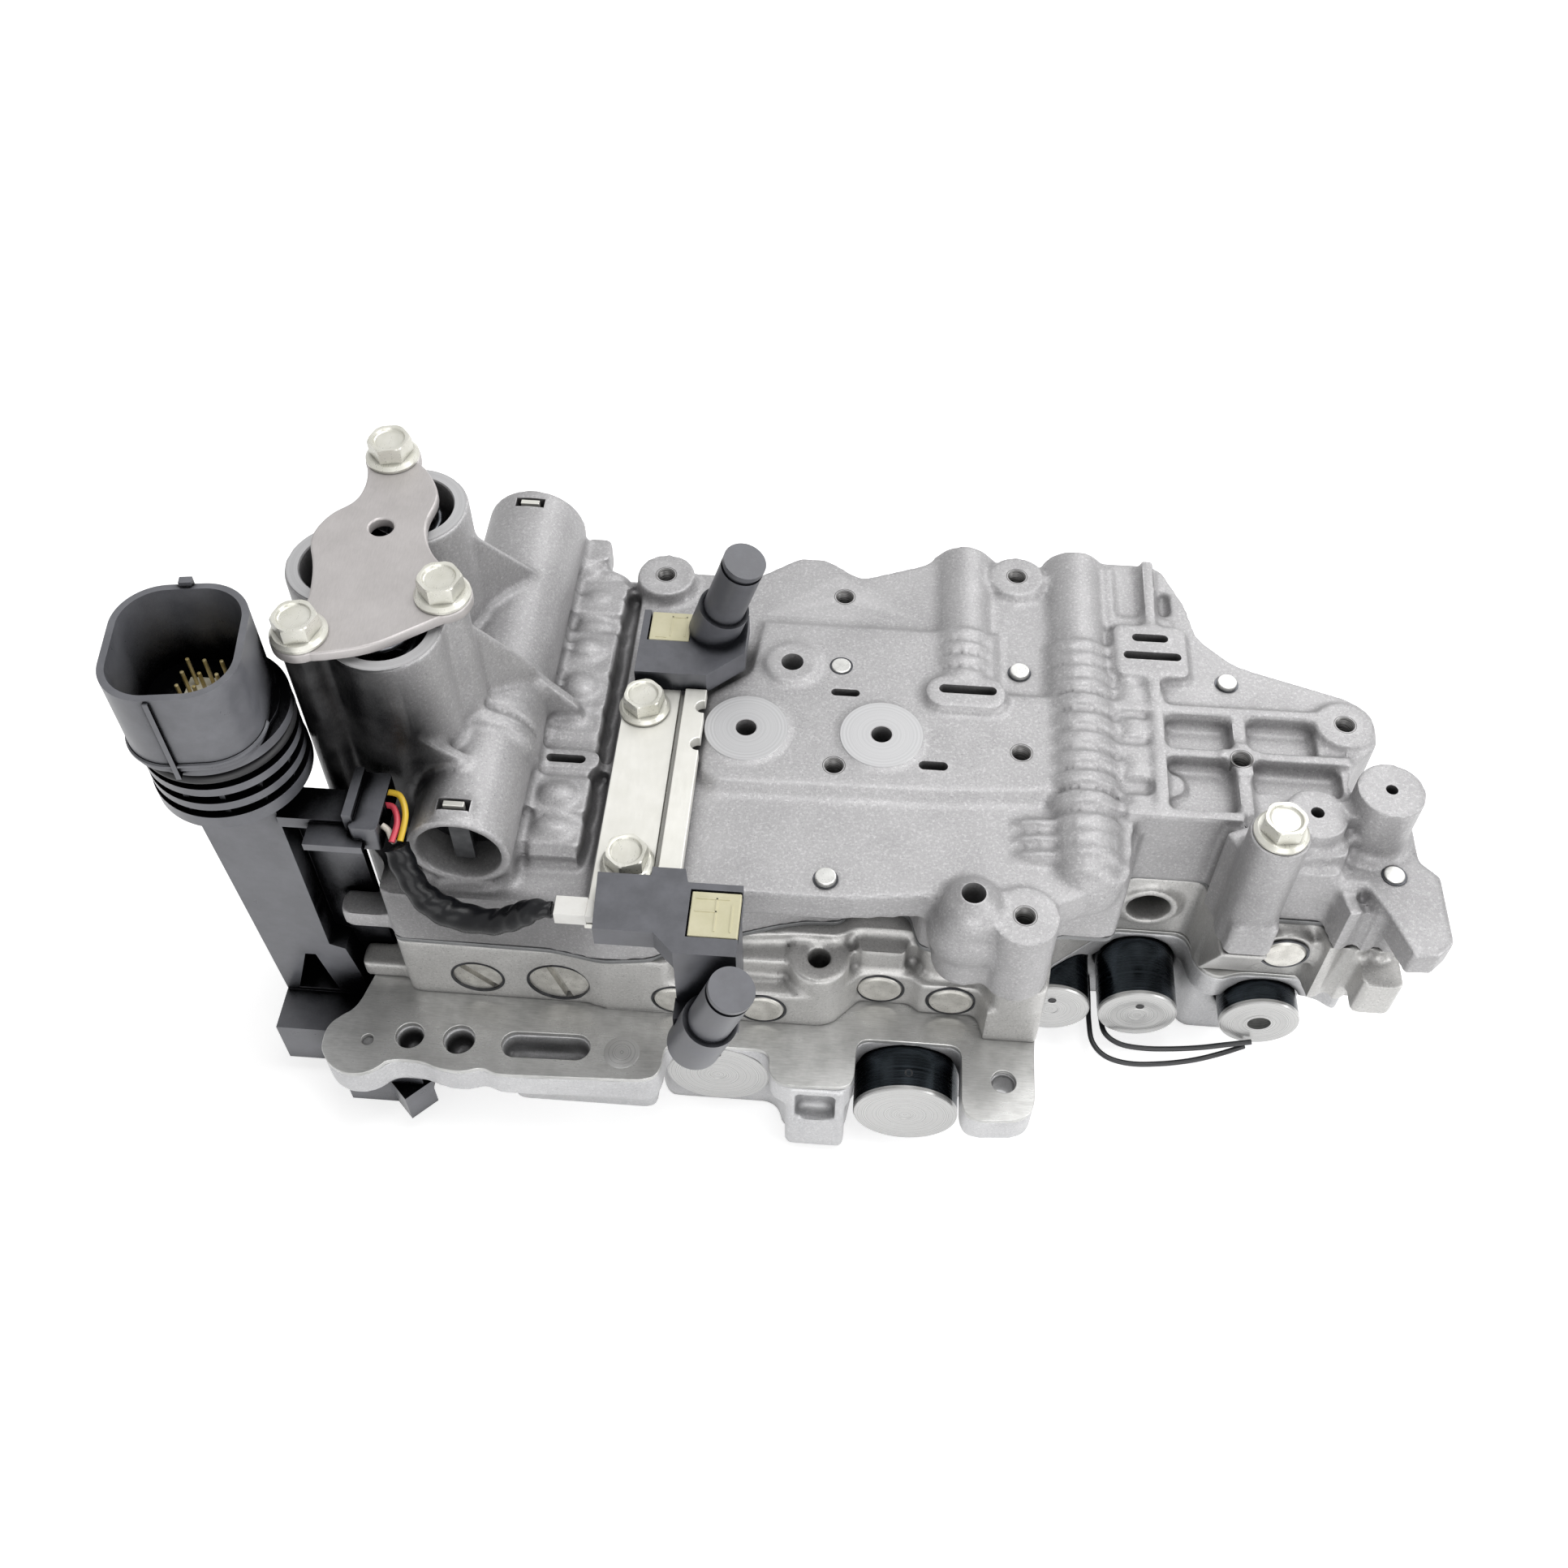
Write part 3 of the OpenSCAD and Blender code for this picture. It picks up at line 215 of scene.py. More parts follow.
def linear(hex_colour):
    """sRGB hex to linear RGBA."""
    values = [int(hex_colour[i:i + 2], 16) / 255 for i in (1, 3, 5)]
    return (*[v / 12.92 if v <= 0.04045 else ((v + 0.055) / 1.055) ** 2.4 for v in values], 1.0)


IN_COLOUR = {"data_type": "RGBA"}


def add(tree, kind, settings=None, **inputs):
    """Adds a node with its settings, and sets or links its inputs.

    i0, i6 and the like are input numbers; a node given as an input means its first output in use.
    """
    node = tree.nodes.new("ShaderNode" + kind)
    for key, value in (settings or {}).items():
        setattr(node, key, value)
    for key, value in inputs.items():
        numbered = key[0] == "i" and key[1:].isdigit()
        socket = node.inputs[int(key[1:]) if numbered else key.replace("_", " ")]
        if isinstance(value, bpy.types.Node):
            value = next(out for out in value.outputs if out.enabled)
        if isinstance(value, bpy.types.NodeSocket):
            tree.links.new(value, socket)
        else:
            socket.default_value = value
    return node


def per_mm(size):
    """Texture scale that gives features of a size in mm."""
    return 1.0 / (size * MM)


def empty_tree(owner):
    """Node tree of a material or of the world, without nodes."""
    owner.use_nodes = True
    owner.node_tree.nodes.clear()
    return owner.node_tree


def start(name):
    """New material, its empty node tree and the place on the part that its patterns follow."""
    material = bpy.data.materials.new(name)
    tree = empty_tree(material)
    place = add(tree, "TexCoord").outputs["Object"]
    return material, tree, place


def end(tree, **shader):
    """Closes a material with its surface."""
    surface = add(tree, "BsdfPrincipled", **shader)
    add(tree, "OutputMaterial", Surface=surface)


def die_cast_aluminium(name, light, dark, worn_and_highlight, grime_and_shade, metallic, roughness):
    """Die-cast aluminium, blasted: even grey, a sparkling grain, paler edges, partly rubbed and partly a
    painted highlight, darker hollows, partly grime and partly painted shade, and painted shade in nooks and
    in dark zones.
    """
    grain_size, speck_size, cloud_size, ripple_size, nook_size = 0.5, 0.8, 16.0, 3.0, 6.0
    material, tree, place = start(name)
    grain = add(tree, "TexNoise", Vector=place, Scale=per_mm(grain_size), Detail=4.0, Roughness=0.75)
    speck = add(tree, "TexNoise", Vector=place, Scale=per_mm(speck_size), Detail=5.0, Roughness=0.8)
    cloud = add(tree, "TexNoise", Vector=place, Scale=per_mm(cloud_size), Detail=4.0)
    ripple = add(tree, "TexNoise", Vector=place, Scale=per_mm(ripple_size), Detail=2.0)
    bend = add(tree, "Attribute", {"attribute_name": "bend"}).outputs["Fac"]
    oil = add(tree, "Attribute", {"attribute_name": "oil"}).outputs["Fac"]
    shade = add(tree, "MapRange", Value=cloud, From_Min=0.25, From_Max=0.75)
    base = add(tree, "Mix", IN_COLOUR, i0=shade, i6=linear(dark), i7=linear(light))
    fleck = add(tree, "MapRange", Value=speck, From_Min=0.5, From_Max=0.7, To_Max=0.52)
    flecked = add(tree, "Mix", IN_COLOUR, i0=fleck, i6=base, i7=linear(worn_and_highlight))
    pit = add(tree, "MapRange", Value=grain, From_Min=0.46, From_Max=0.26, To_Max=0.6)
    pitted = add(tree, "Mix", IN_COLOUR, i0=pit, i6=flecked, i7=linear(grime_and_shade))
    # Convex edges paler: partly rubbed metal, partly a painted highlight.
    rubbed = add(tree, "MapRange", Value=bend, From_Min=0.06, From_Max=0.34, To_Max=0.85)
    edged = add(tree, "Mix", IN_COLOUR, i0=rubbed, i6=pitted, i7=linear(worn_and_highlight))
    # Hollows darker: partly grime, partly painted shade.
    hollow = add(tree, "MapRange", Value=bend, From_Min=-0.05, From_Max=-0.3, To_Max=0.8)
    lined = add(tree, "Mix", IN_COLOUR, i0=hollow, i6=edged, i7=linear(grime_and_shade))
    # Painted shade in nooks, found by ambient occlusion.
    open_air = add(tree, "AmbientOcclusion", {"samples": 4}, Distance=nook_size * MM)
    nook = add(tree, "MapRange", Value=open_air.outputs["AO"], From_Min=0.82, From_Max=0.3, To_Max=0.85)
    nook_shaded = add(tree, "Mix", IN_COLOUR, i0=nook, i6=lined, i7=linear("#3A393A"))
    # Painted shade: near black in the dark zones stored on the casting, patchy with the cloud.
    patchy = add(tree, "Math", {"operation": "MULTIPLY_ADD", "use_clamp": True}, i0=shade, i1=0.3, i2=0.8)
    film = add(tree, "Math", {"operation": "MULTIPLY", "use_clamp": True}, i0=patchy, i1=oil)
    oiled = add(tree, "Mix", IN_COLOUR, i0=film, i6=nook_shaded, i7=linear("#121214"))
    dull = add(tree, "MapRange", Value=grain, From_Min=0.3, From_Max=0.7,
               To_Min=roughness - 0.08, To_Max=roughness + 0.1)
    gloss = add(tree, "Mix", i0=film, i2=dull, i3=0.3)
    fine = add(tree, "Bump", Height=grain, Distance=0.1 * MM, Strength=0.6)
    coarse = add(tree, "Bump", Height=ripple, Distance=0.14 * MM, Strength=0.5, Normal=fine)
    end(tree, Base_Color=oiled, Metallic=metallic, Roughness=gloss, Normal=coarse)
    return material


def rolled_steel(name, light, dark, roughness, grain_way, metallic=0.5):
    """Cold-rolled steel sheet: satin, with long faint rolling lines and a few cloudy stains."""
    line_width, stain_size = 0.35, 14.0
    material, tree, place = start(name)
    across = add(tree, "Mapping", Vector=place, Scale=grain_way)
    lines = add(tree, "TexNoise", Vector=across, Scale=per_mm(line_width), Detail=3.0)
    stain = add(tree, "TexNoise", Vector=place, Scale=per_mm(stain_size), Detail=5.0, Roughness=0.62)
    mixed = add(tree, "Math", {"operation": "MULTIPLY_ADD"}, i0=lines, i1=0.4, i2=stain)
    shade = add(tree, "MapRange", Value=mixed, From_Min=0.5, From_Max=0.92)
    colour = add(tree, "Mix", IN_COLOUR, i0=shade, i6=linear(dark), i7=linear(light))
    dull = add(tree, "MapRange", Value=mixed, From_Min=0.4, From_Max=1.0,
               To_Min=roughness + 0.1, To_Max=roughness - 0.08)
    bump = add(tree, "Bump", Height=lines, Distance=0.02 * MM, Strength=0.5)
    end(tree, Base_Color=colour, Metallic=metallic, Roughness=dull, Normal=bump)
    return material


def zinc_plated_steel(name, dark, light, metallic, roughness):
    """Zinc plated steel, passivated: warm silver white with dull patches, fine scuffs and painted shade in
    its corners.
    """
    patch_size, scuff_size, corner_size = 6.0, 0.8, 2.5
    material, tree, place = start(name)
    patch = add(tree, "TexNoise", Vector=place, Scale=per_mm(patch_size), Detail=4.0)
    drawn = add(tree, "Mapping", Vector=place, Scale=(1.0, 0.2, 1.0))
    scuff = add(tree, "TexNoise", Vector=drawn, Scale=per_mm(scuff_size), Detail=4.0, Roughness=0.7)
    shade = add(tree, "MapRange", Value=patch, From_Min=0.3, From_Max=0.7)
    colour = add(tree, "Mix", IN_COLOUR, i0=shade, i6=linear(dark), i7=linear(light))
    dull = add(tree, "MapRange", Value=scuff, From_Min=0.3, From_Max=0.7,
               To_Min=roughness - 0.06, To_Max=roughness + 0.1)
    # Painted shade: corners darken by ambient occlusion.
    open_air = add(tree, "AmbientOcclusion", {"samples": 6}, Distance=corner_size * MM)
    corner = add(tree, "MapRange", Value=open_air.outputs["AO"], From_Min=0.85, From_Max=0.4, To_Max=0.8)
    tone = add(tree, "Mix", IN_COLOUR, i0=corner, i6=colour, i7=linear("#3C3B36"))
    end(tree, Base_Color=tone, Metallic=metallic, Roughness=dull)
    return material


def turned_steel(name, light, dark, roughness, ring_width, metallic=1.0):
    """Turned steel: fine rings round the axis, drawn a little coarser than real ones so that they show."""
    material, tree, _ = start(name)
    run = add(tree, "UVMap")
    parts = add(tree, "SeparateXYZ", Vector=run)
    rings = add(tree, "TexNoise", {"noise_dimensions": "1D"}, W=parts.outputs[1], Scale=1 / ring_width,
                Detail=3.0)
    shade = add(tree, "MapRange", Value=rings, From_Min=0.35, From_Max=0.65)
    colour = add(tree, "Mix", IN_COLOUR, i0=shade, i6=linear(dark), i7=linear(light))
    dull = add(tree, "MapRange", Value=rings, From_Min=0.3, From_Max=0.7,
               To_Min=roughness - 0.06, To_Max=roughness + 0.08)
    bump = add(tree, "Bump", Height=rings, Distance=0.03 * MM, Strength=0.3)
    end(tree, Base_Color=colour, Metallic=metallic, Roughness=dull, Normal=bump)
    return material


def ground_steel(name, light, dark, roughness, metallic=1.0, shade_up_to=None):
    """Ground or drawn metal: even and fairly bright, with an oily haze; given a height in mm, it is pale
    above it and keeps its darker colours below as a painted shade.
    """
    haze_size, mark_size = 3.0, 0.3
    material, tree, place = start(name)
    haze = add(tree, "TexNoise", Vector=place, Scale=per_mm(haze_size), Detail=4.0)
    marks = add(tree, "TexNoise", Vector=place, Scale=per_mm(mark_size), Detail=2.0)
    shade = add(tree, "MapRange", Value=haze, From_Min=0.35, From_Max=0.65)
    colour = add(tree, "Mix", IN_COLOUR, i0=shade, i6=linear(dark), i7=linear(light))
    dull = add(tree, "MapRange", Value=marks, To_Min=roughness - 0.08, To_Max=roughness + 0.08)
    tone = colour
    if shade_up_to:
        # Painted shade below the given height; pale above it.
        height = add(tree, "SeparateXYZ", Vector=place).outputs[2]
        unshaded = add(tree, "MapRange", Value=height, From_Min=shade_up_to * MM,
                    From_Max=(shade_up_to + 1) * MM)
        tone = add(tree, "Mix", IN_COLOUR, i0=unshaded, i6=tone, i7=linear("#DAD9D2"))
    end(tree, Base_Color=tone, Metallic=metallic, Roughness=dull)
    return material


def moulded_nylon(name, colour, rubbed, roughness, texture=0.7, shade_inside=None, closed_in=16.0):
    """Moulded plastic: a fine spark-eroded texture, paler where it was rubbed, and a painted shade in
    closed-in places.
    """
    cloud_size = 9.0
    material, tree, place = start(name)
    grain = add(tree, "TexNoise", Vector=place, Scale=per_mm(texture), Detail=3.0)
    cloud = add(tree, "TexNoise", Vector=place, Scale=per_mm(cloud_size), Detail=5.0, Roughness=0.65)
    shade = add(tree, "MapRange", Value=cloud, From_Min=0.4, From_Max=0.75)
    base = add(tree, "Mix", IN_COLOUR, i0=shade, i6=linear(colour), i7=linear(rubbed))
    tone, sheen = base, 0.5
    if shade_inside:
        # Painted shade: closed-in places take the dark inside colour, and lose sheen.
        open_air = add(tree, "AmbientOcclusion", {"samples": 8}, Distance=closed_in * MM)
        open_share = add(tree, "MapRange", Value=open_air.outputs["AO"], From_Min=0.64, From_Max=0.92)
        tone = add(tree, "Mix", IN_COLOUR, i0=open_share, i6=linear(shade_inside), i7=tone)
        sheen = add(tree, "MapRange", Value=open_share, To_Min=0.0, To_Max=0.5)
    dull = add(tree, "MapRange", Value=cloud, From_Min=0.3, From_Max=0.7,
               To_Min=roughness - 0.08, To_Max=roughness + 0.08)
    bump = add(tree, "Bump", Height=grain, Distance=0.03 * MM, Strength=0.5)
    end(tree, Base_Color=tone, Roughness=dull, IOR=1.53, Specular_IOR_Level=sheen, Normal=bump)
    return material


def pvc_tape(name):
    """Black PVC tape wound on a lead: smooth and a little shiny, with a lap every few millimetres."""
    laps, crease_size = 9.0, 5.0
    material, tree, place = start(name)
    run = add(tree, "UVMap")
    parts = add(tree, "SeparateXYZ", Vector=run)
    turn = add(tree, "Math", {"operation": "MULTIPLY_ADD"}, i0=parts.outputs[1], i1=laps, i2=parts.outputs[0])
    lap = add(tree, "Math", {"operation": "FRACT"}, i0=turn)
    crease = add(tree, "TexNoise", Vector=place, Scale=per_mm(crease_size), Detail=3.0)
    dull = add(tree, "MapRange", Value=crease, To_Min=0.16, To_Max=0.42)
    colour = add(tree, "Mix", IN_COLOUR, i0=crease, i6=linear("#09090B"), i7=linear("#17181B"))
    step = add(tree, "Bump", Height=lap, Distance=0.15 * MM, Strength=0.4)
    bump = add(tree, "Bump", Height=crease, Distance=0.6 * MM, Strength=0.4, Normal=step)
    end(tree, Base_Color=colour, Roughness=dull, IOR=1.53, Specular_IOR_Level=0.2, Normal=bump)
    return material


CAST_GREY = die_cast_aluminium("aluminium_die_cast_blasted", "#ABAAAB", "#9C9B9C", "#E2E1E2", "#4A494B",
                               0.4, 0.46)
CAST_BRIGHT = die_cast_aluminium("aluminium_die_cast_bright", "#CACACB", "#B4B4B6", "#ECECEC", "#5E5F62",
                                 0.45, 0.38)
CAST_MIDDLE = die_cast_aluminium("aluminium_die_cast_milled", "#C4C3C1", "#AEADAB", "#E8E7E5", "#434241",
                                 0.45, 0.34)
PLATE_DARK = rolled_steel("steel_sheet_blanked", "#8A8B8C", "#6C6D6E", 0.42, (1.0, 0.12, 1.0))
PLATE_SATIN = rolled_steel("steel_sheet_rolled", "#D2D2D0", "#A0A09E", 0.3, (0.12, 1.0, 1.0))
PLATE_PRESSED = rolled_steel("steel_sheet_pressed", "#C0BCBB", "#AFABAA", 0.44, (1.0, 0.15, 1.0))
ZINC = zinc_plated_steel("steel_zinc_plated", "#CBCABF", "#DEDDD5", 0.5, 0.3)
ZINC_SHEET = zinc_plated_steel("steel_zinc_plated_sheet", "#E2E1DA", "#E9E8E2", 0.4, 0.36)
TURNED = turned_steel("steel_turned", "#C0C0BF", "#B4B4B3", 0.3, 0.3, 0.6)
TURNED_PALE = turned_steel("aluminium_spot_faced", "#BEBEBF", "#B2B2B3", 0.5, 0.5, 0.5)
CAN = turned_steel("steel_can_drawn", "#3A4045", "#343A3F", 0.26, 0.8)
# Threads drawn darker than the casting, with darker rings: a painted shade inside the tapped holes and
# between the threads.
THREAD = turned_steel("aluminium_tapped", "#8E8D8C", "#4E4D4C", 0.36, 0.2, 0.6)
PLUG_STEEL = ground_steel("steel_plug_ground", "#D8D6D0", "#BCBAB4", 0.3, 0.6)
PIN_STEEL = ground_steel("steel_pin_ground", "#D6D6D3", "#C4C4C1", 0.3, 0.6)
VALVE = ground_steel("aluminium_spool_ground", "#BABBBD", "#9A9B9E", 0.28)
# Dark colour of painted shade: on the tube plugs deep in the tube and on the lines in the gaps round plugs
# and pins.
SHADE_DARK = ground_steel("aluminium_plug_oiled", "#55565A", "#3A3B3E", 0.34)
SPRING = ground_steel("steel_spring_oiled", "#6E7074", "#4E5054", 0.34)
# Clip dark up to 113.5 mm, a painted shade inside the tube; above, where its top end stands in the light, it
# is pale.
CLIP = ground_steel("steel_clip_oiled", "#4A4B4D", "#38393B", 0.36, 0.6, 113.5)
BRASS = ground_steel("brass_pin_drawn", "#D8C898", "#B8A468", 0.34, 0.5)
# The black nylon is drawn grey where it is open, partly a painted sheen; its near-black inside colour is a
# painted shade.
NYLON_BLACK = moulded_nylon("nylon_black_moulded", "#5F6065", "#707176", 0.34, shade_inside="#060607")
NYLON_GREY = moulded_nylon("nylon_dark_grey_moulded", "#54555A", "#65666C", 0.4, shade_inside="#1C1D20",
                           closed_in=5.0)
NYLON_WHITE = moulded_nylon("nylon_natural_moulded", "#E6E5E1", "#D5D3CC", 0.42)
RESIN = moulded_nylon("epoxy_cream_potted", "#C8C3A2", "#D6D1B4", 0.45, 1.4)
INSERT = moulded_nylon("polyester_cream_moulded", "#EFE9D4", "#DED6BC", 0.48)
RUBBER = moulded_nylon("rubber_seal_moulded", "#141416", "#222225", 0.55)
TAPE = pvc_tape("pvc_tape_black")
WIRE_YELLOW = moulded_nylon("pvc_yellow_extruded", "#D9B52F", "#C8A640", 0.36)
WIRE_RED = moulded_nylon("pvc_red_extruded", "#CF4657", "#B93F4E", 0.36)
WIRE_WHITE = moulded_nylon("pvc_white_extruded", "#DCD6CC", "#C9C2B6", 0.36)
WIRE_BLACK = moulded_nylon("pvc_black_extruded", "#17181B", "#26272B", 0.36)

# Castings

VOXEL = 0.75
FILLET = 1.0
SMOOTHING = 2
MOST_TRIANGLES = 185000
TUBE_X, TUBE_Z, TUBE_FRONT, TUBE_BACK = -81, 6, -34, 88
# Slots for the clips: distance from the mouth, half widths, floor and top above the tube's axis
CLIP_IN, CLIP_HALF_X, CLIP_HALF_Y, CLIP_FLOOR, CLIP_TOP = 5.3, 4.2, 1.8, 9, 14.2
ROOF, FIELD_EDGE = -3, -0.62
ACCUMULATORS = [(-98, -3), (-113, 18), (-100.5, 40)]
ACCUMULATOR_TOP, ACCUMULATOR_R, ACCUMULATOR_RIM_R = 56, 11, 14.2
# Tapped holes of the top: x, y and the height of their rim
TAPS = [(-41, 75, 1.5), (12.5, 74.5, ROOF), (63.5, 85, -0.8), (64, 16.5, -0.6), (13, 8, -0.6),
        (124, 19, -0.4), (154, 34, -0.8), (64.5, -36, -2)]
TAP_R, TAP_DEPTH = 2.75, 15
DISCS = [(-12, 19), (25.5, 19.5)]
DISC_R, DISC_HOLE_R = 11.6, 2.9
# Plain holes: x, y, rim, floor, radius
HOLES = [(x, y, rim, rim - TAP_DEPTH, TAP_R) for x, y, rim in TAPS]
HOLES += [(x, y, 0, -18, DISC_HOLE_R) for x, y in DISCS]
HOLES += [(-1, 44, 0.5, -18, 3.2), (51, -33, 2.6, -20, 3.2), (159, 3, 10, -4, 1.6), (141, -1, 3.5, -6, 1.8)]
# Oil slots: first end, second end, rim, half width
SLOTS = [((12, 34.5), (17.5, 34.5), -0.6, 1.3), ((37.5, 10), (42.5, 10), -0.6, 1.5),
         ((42.5, 36.2), (55.5, 36.2), 1.8, 1.6), ((-64, 4.5), (-56, 4.5), -0.5, 1.4),
         ((97.8, 61.5), (105.2, 61.5), 0.5, 1.5), ((95, 54.5), (108.5, 54.5), 0.5, 1.5)]
SLOT_FLOOR = -9


def slot_bar(bm, a, b, low, high, half):
    """Upright bar with round ends, for a slot."""
    ring = []
    for k in range(32):
        angle = math.pi * (k + 0.5) / 16 - math.pi / 2
        x, y = b if math.cos(angle) > 0 else a
        ring.append((x + half * math.cos(angle), y + half * math.sin(angle)))
    prism(bm, ring, low, ring, high)


def drills(grow, rise):
    """Bars for every small hole and slot of the top, to fill them before softening or to cut them after."""
    bm = bmesh.new()
    for x, y, rim, floor, r in HOLES:
        wide, top = r + grow, rim + rise
        lathe(bm, stand(x, y, 0), [(0, floor), (wide, floor), (wide, top), (0, top)], 32)
    for a, b, rim, half in SLOTS:
        slot_bar(bm, a, b, SLOT_FLOOR, rim + rise, half + grow)
    for y in (TUBE_FRONT + CLIP_IN, TUBE_BACK - CLIP_IN):
        box(bm, (TUBE_X - CLIP_HALF_X - grow, y - CLIP_HALF_Y - grow, TUBE_Z + CLIP_FLOOR),
            (TUBE_X + CLIP_HALF_X + grow, y + CLIP_HALF_Y + grow, TUBE_Z + CLIP_TOP + rise))
    return close_mesh("drills", bm)


def cast_lumps():
    """Rounded shapes that the mould leaves on the upper casting."""
    bm = bmesh.new()
    ball(bm, (48, 36, -8.5), (9.5, 8, 9.5))
    ball(bm, (81, -20, -8.5), (10, 8, 10))
    # Swellings that run into each other over the oil ways beside the long valve tube
    for y, long, high in ((76, 5, 6), (65.5, 6.5, 7.4), (55, 5, 6.6), (44.5, 6.5, 9.2), (31, 8, 8.6),
                          (19, 5.5, 6.4), (-8, 6.5, 9), (-18, 6, 7.4)):
        ball(bm, (-60, y, -7), (8.5, long, high))
    ball(bm, (-66, 79, -3), (5, 5, 4.6))
    # Fingers that flare from the ringed hump
    for k in range(3):
        ball(bm, (70, -16.9 + 5.2 * k, -4.5), (9.5, 2.2, 4.0))
    for y in (1.5, 14.5, 28.5, 43):
        ball(bm, (96, y, -8), (9.5, 4, 7.4))
    # Soft slope round the raised field
    rim = [(-23, 4), (-18, 1), (40, 2), (68, 4), (78, 9), (78, 36.6), (56, 36.6), (56, 60), (-10, 60),
           (-12, 40), (-23, 31)]
    foot = [(-26, 2), (-19.5, -3), (40, -2.2), (69, -0.4), (80, 7), (80, 34.6), (59, 34.6), (59, 62.6),
            (-11.6, 62.6), (-14.6, 42), (-26, 33)]
    prism(bm, foot, ROOF - 0.1, rim, FIELD_EDGE)
    # Feet of the boss with the oil hole and of the posts
    ball(bm, (51, -33, -14), (11, 10, 12))
    ball(bm, (159, 3, -11), (12, 11, 5))
    ball(bm, (141, -1, -9), (11, 10, 6))
    return close_mesh("lumps", bm)


def evaluated(name, mesh, modifiers):
    """Mesh after a row of modifiers, each a kind with its settings."""
    obj = bpy.data.objects.new(name, mesh)
    scene.collection.objects.link(obj)
    for kind, settings in modifiers:
        step = obj.modifiers.new(kind.lower(), kind)
        for key, value in settings.items():
            setattr(step, key, value)
    graph = bpy.context.evaluated_depsgraph_get()
    made = bpy.data.meshes.new_from_object(obj.evaluated_get(graph))
    bpy.data.objects.remove(obj)
    return made


def mark_bends(mesh):
    """Stores how far each vertex stands out (above 0) or lies in a hollow (below 0), for the finish: paler
    edges, partly a painted highlight, and darker hollows, partly painted shade.
    """
    n = len(mesh.vertices)
    co = np.empty(n * 3)
    normal = np.empty(n * 3)
    mesh.vertices.foreach_get("co", co)
    mesh.vertices.foreach_get("normal", normal)
    co, normal = co.reshape(-1, 3), normal.reshape(-1, 3)
    ends = np.empty(len(mesh.edges) * 2, dtype=np.int32)
    mesh.edges.foreach_get("vertices", ends)
    a, b = ends.reshape(-1, 2).T
    way = co[b] - co[a]
    way /= np.maximum(np.linalg.norm(way, axis=1, keepdims=True), 1e-9)
    count = np.bincount(a, minlength=n) + np.bincount(b, minlength=n)
    count = np.maximum(count, 1)
    leaving = -np.sum(normal[a] * way, axis=1)
    arriving = np.sum(normal[b] * way, axis=1)
    bend = (np.bincount(a, leaving, n) + np.bincount(b, arriving, n)) / count
    for _ in range(2):
        near = np.bincount(a, bend[b], n) + np.bincount(b, bend[a], n)
        bend = 0.5 * bend + 0.5 * near / count
    layer = mesh.attributes.new("bend", "FLOAT", "POINT")
    layer.data.foreach_set("value", bend.astype(np.float32))


# Where painted shade lies dark on each casting: middle and half widths in mm, strength
PAINTED_SHADE_ZONES = {
    "upper_body": [
        ((-106, -16, 16), (21, 20, 58), 1.0), ((-120, 8, 8), (14, 18, 46), 0.9),
        ((-81, -22, 6), (11.8, 15, 11.8), 0.9), ((-81, 80, 6), (11.8, 12, 11.8), 0.9),
        ((-78, -40, -16), (36, 6, 15), 0.6), ((-92, 20, 0), (12, 30, 14), 0.5),
        ((-81, 27, 6), (15, 66, 15), 0.36), ((127, -17, -12), (9, 9, 30), 0.25),
        ((166, -6, -12), (13, 22, 16), 0.18), ((-48, 0, -3), (14, 60, 8), 0.14)],
    "middle_body": [((105, 7, -43.6), (7, 11, 7), 1.0)],
    "lower_body": [
        ((-60, -30, -80), (60, 40, 14), 0.35), ((-101, -52.3, -64), (4, 4, 4.6), 0.9),
        ((-87, -52.5, -64), (4.4, 4.4, 4.6), 0.9), ((-62.5, -52.6, -66), (12, 4, 5), 0.6)]}
PAINTED_SHADE_ZONES["upper_body"] += [((x, y, 38), (11.5, 11.5, 24), 0.85) for x, y in ACCUMULATORS]


def mark_oil(mesh, zones):
    """Stores how much painted shade each vertex takes, fading out round each zone."""
    n = len(mesh.vertices)
    co = np.empty(n * 3)
    mesh.vertices.foreach_get("co", co)
    co = co.reshape(-1, 3)
    oil = np.zeros(n)
    for centre, half, strength in zones:
        away = np.linalg.norm((co - np.array(at(*centre))) / (np.array(half) * MM), axis=1)
        share = np.clip((1.25 - away) / 0.5, 0, 1)
        oil = np.maximum(oil, strength * share * share * (3 - 2 * share))
    layer = mesh.attributes.new("oil", "FLOAT", "POINT")
    layer.data.foreach_set("value", oil.astype(np.float32))


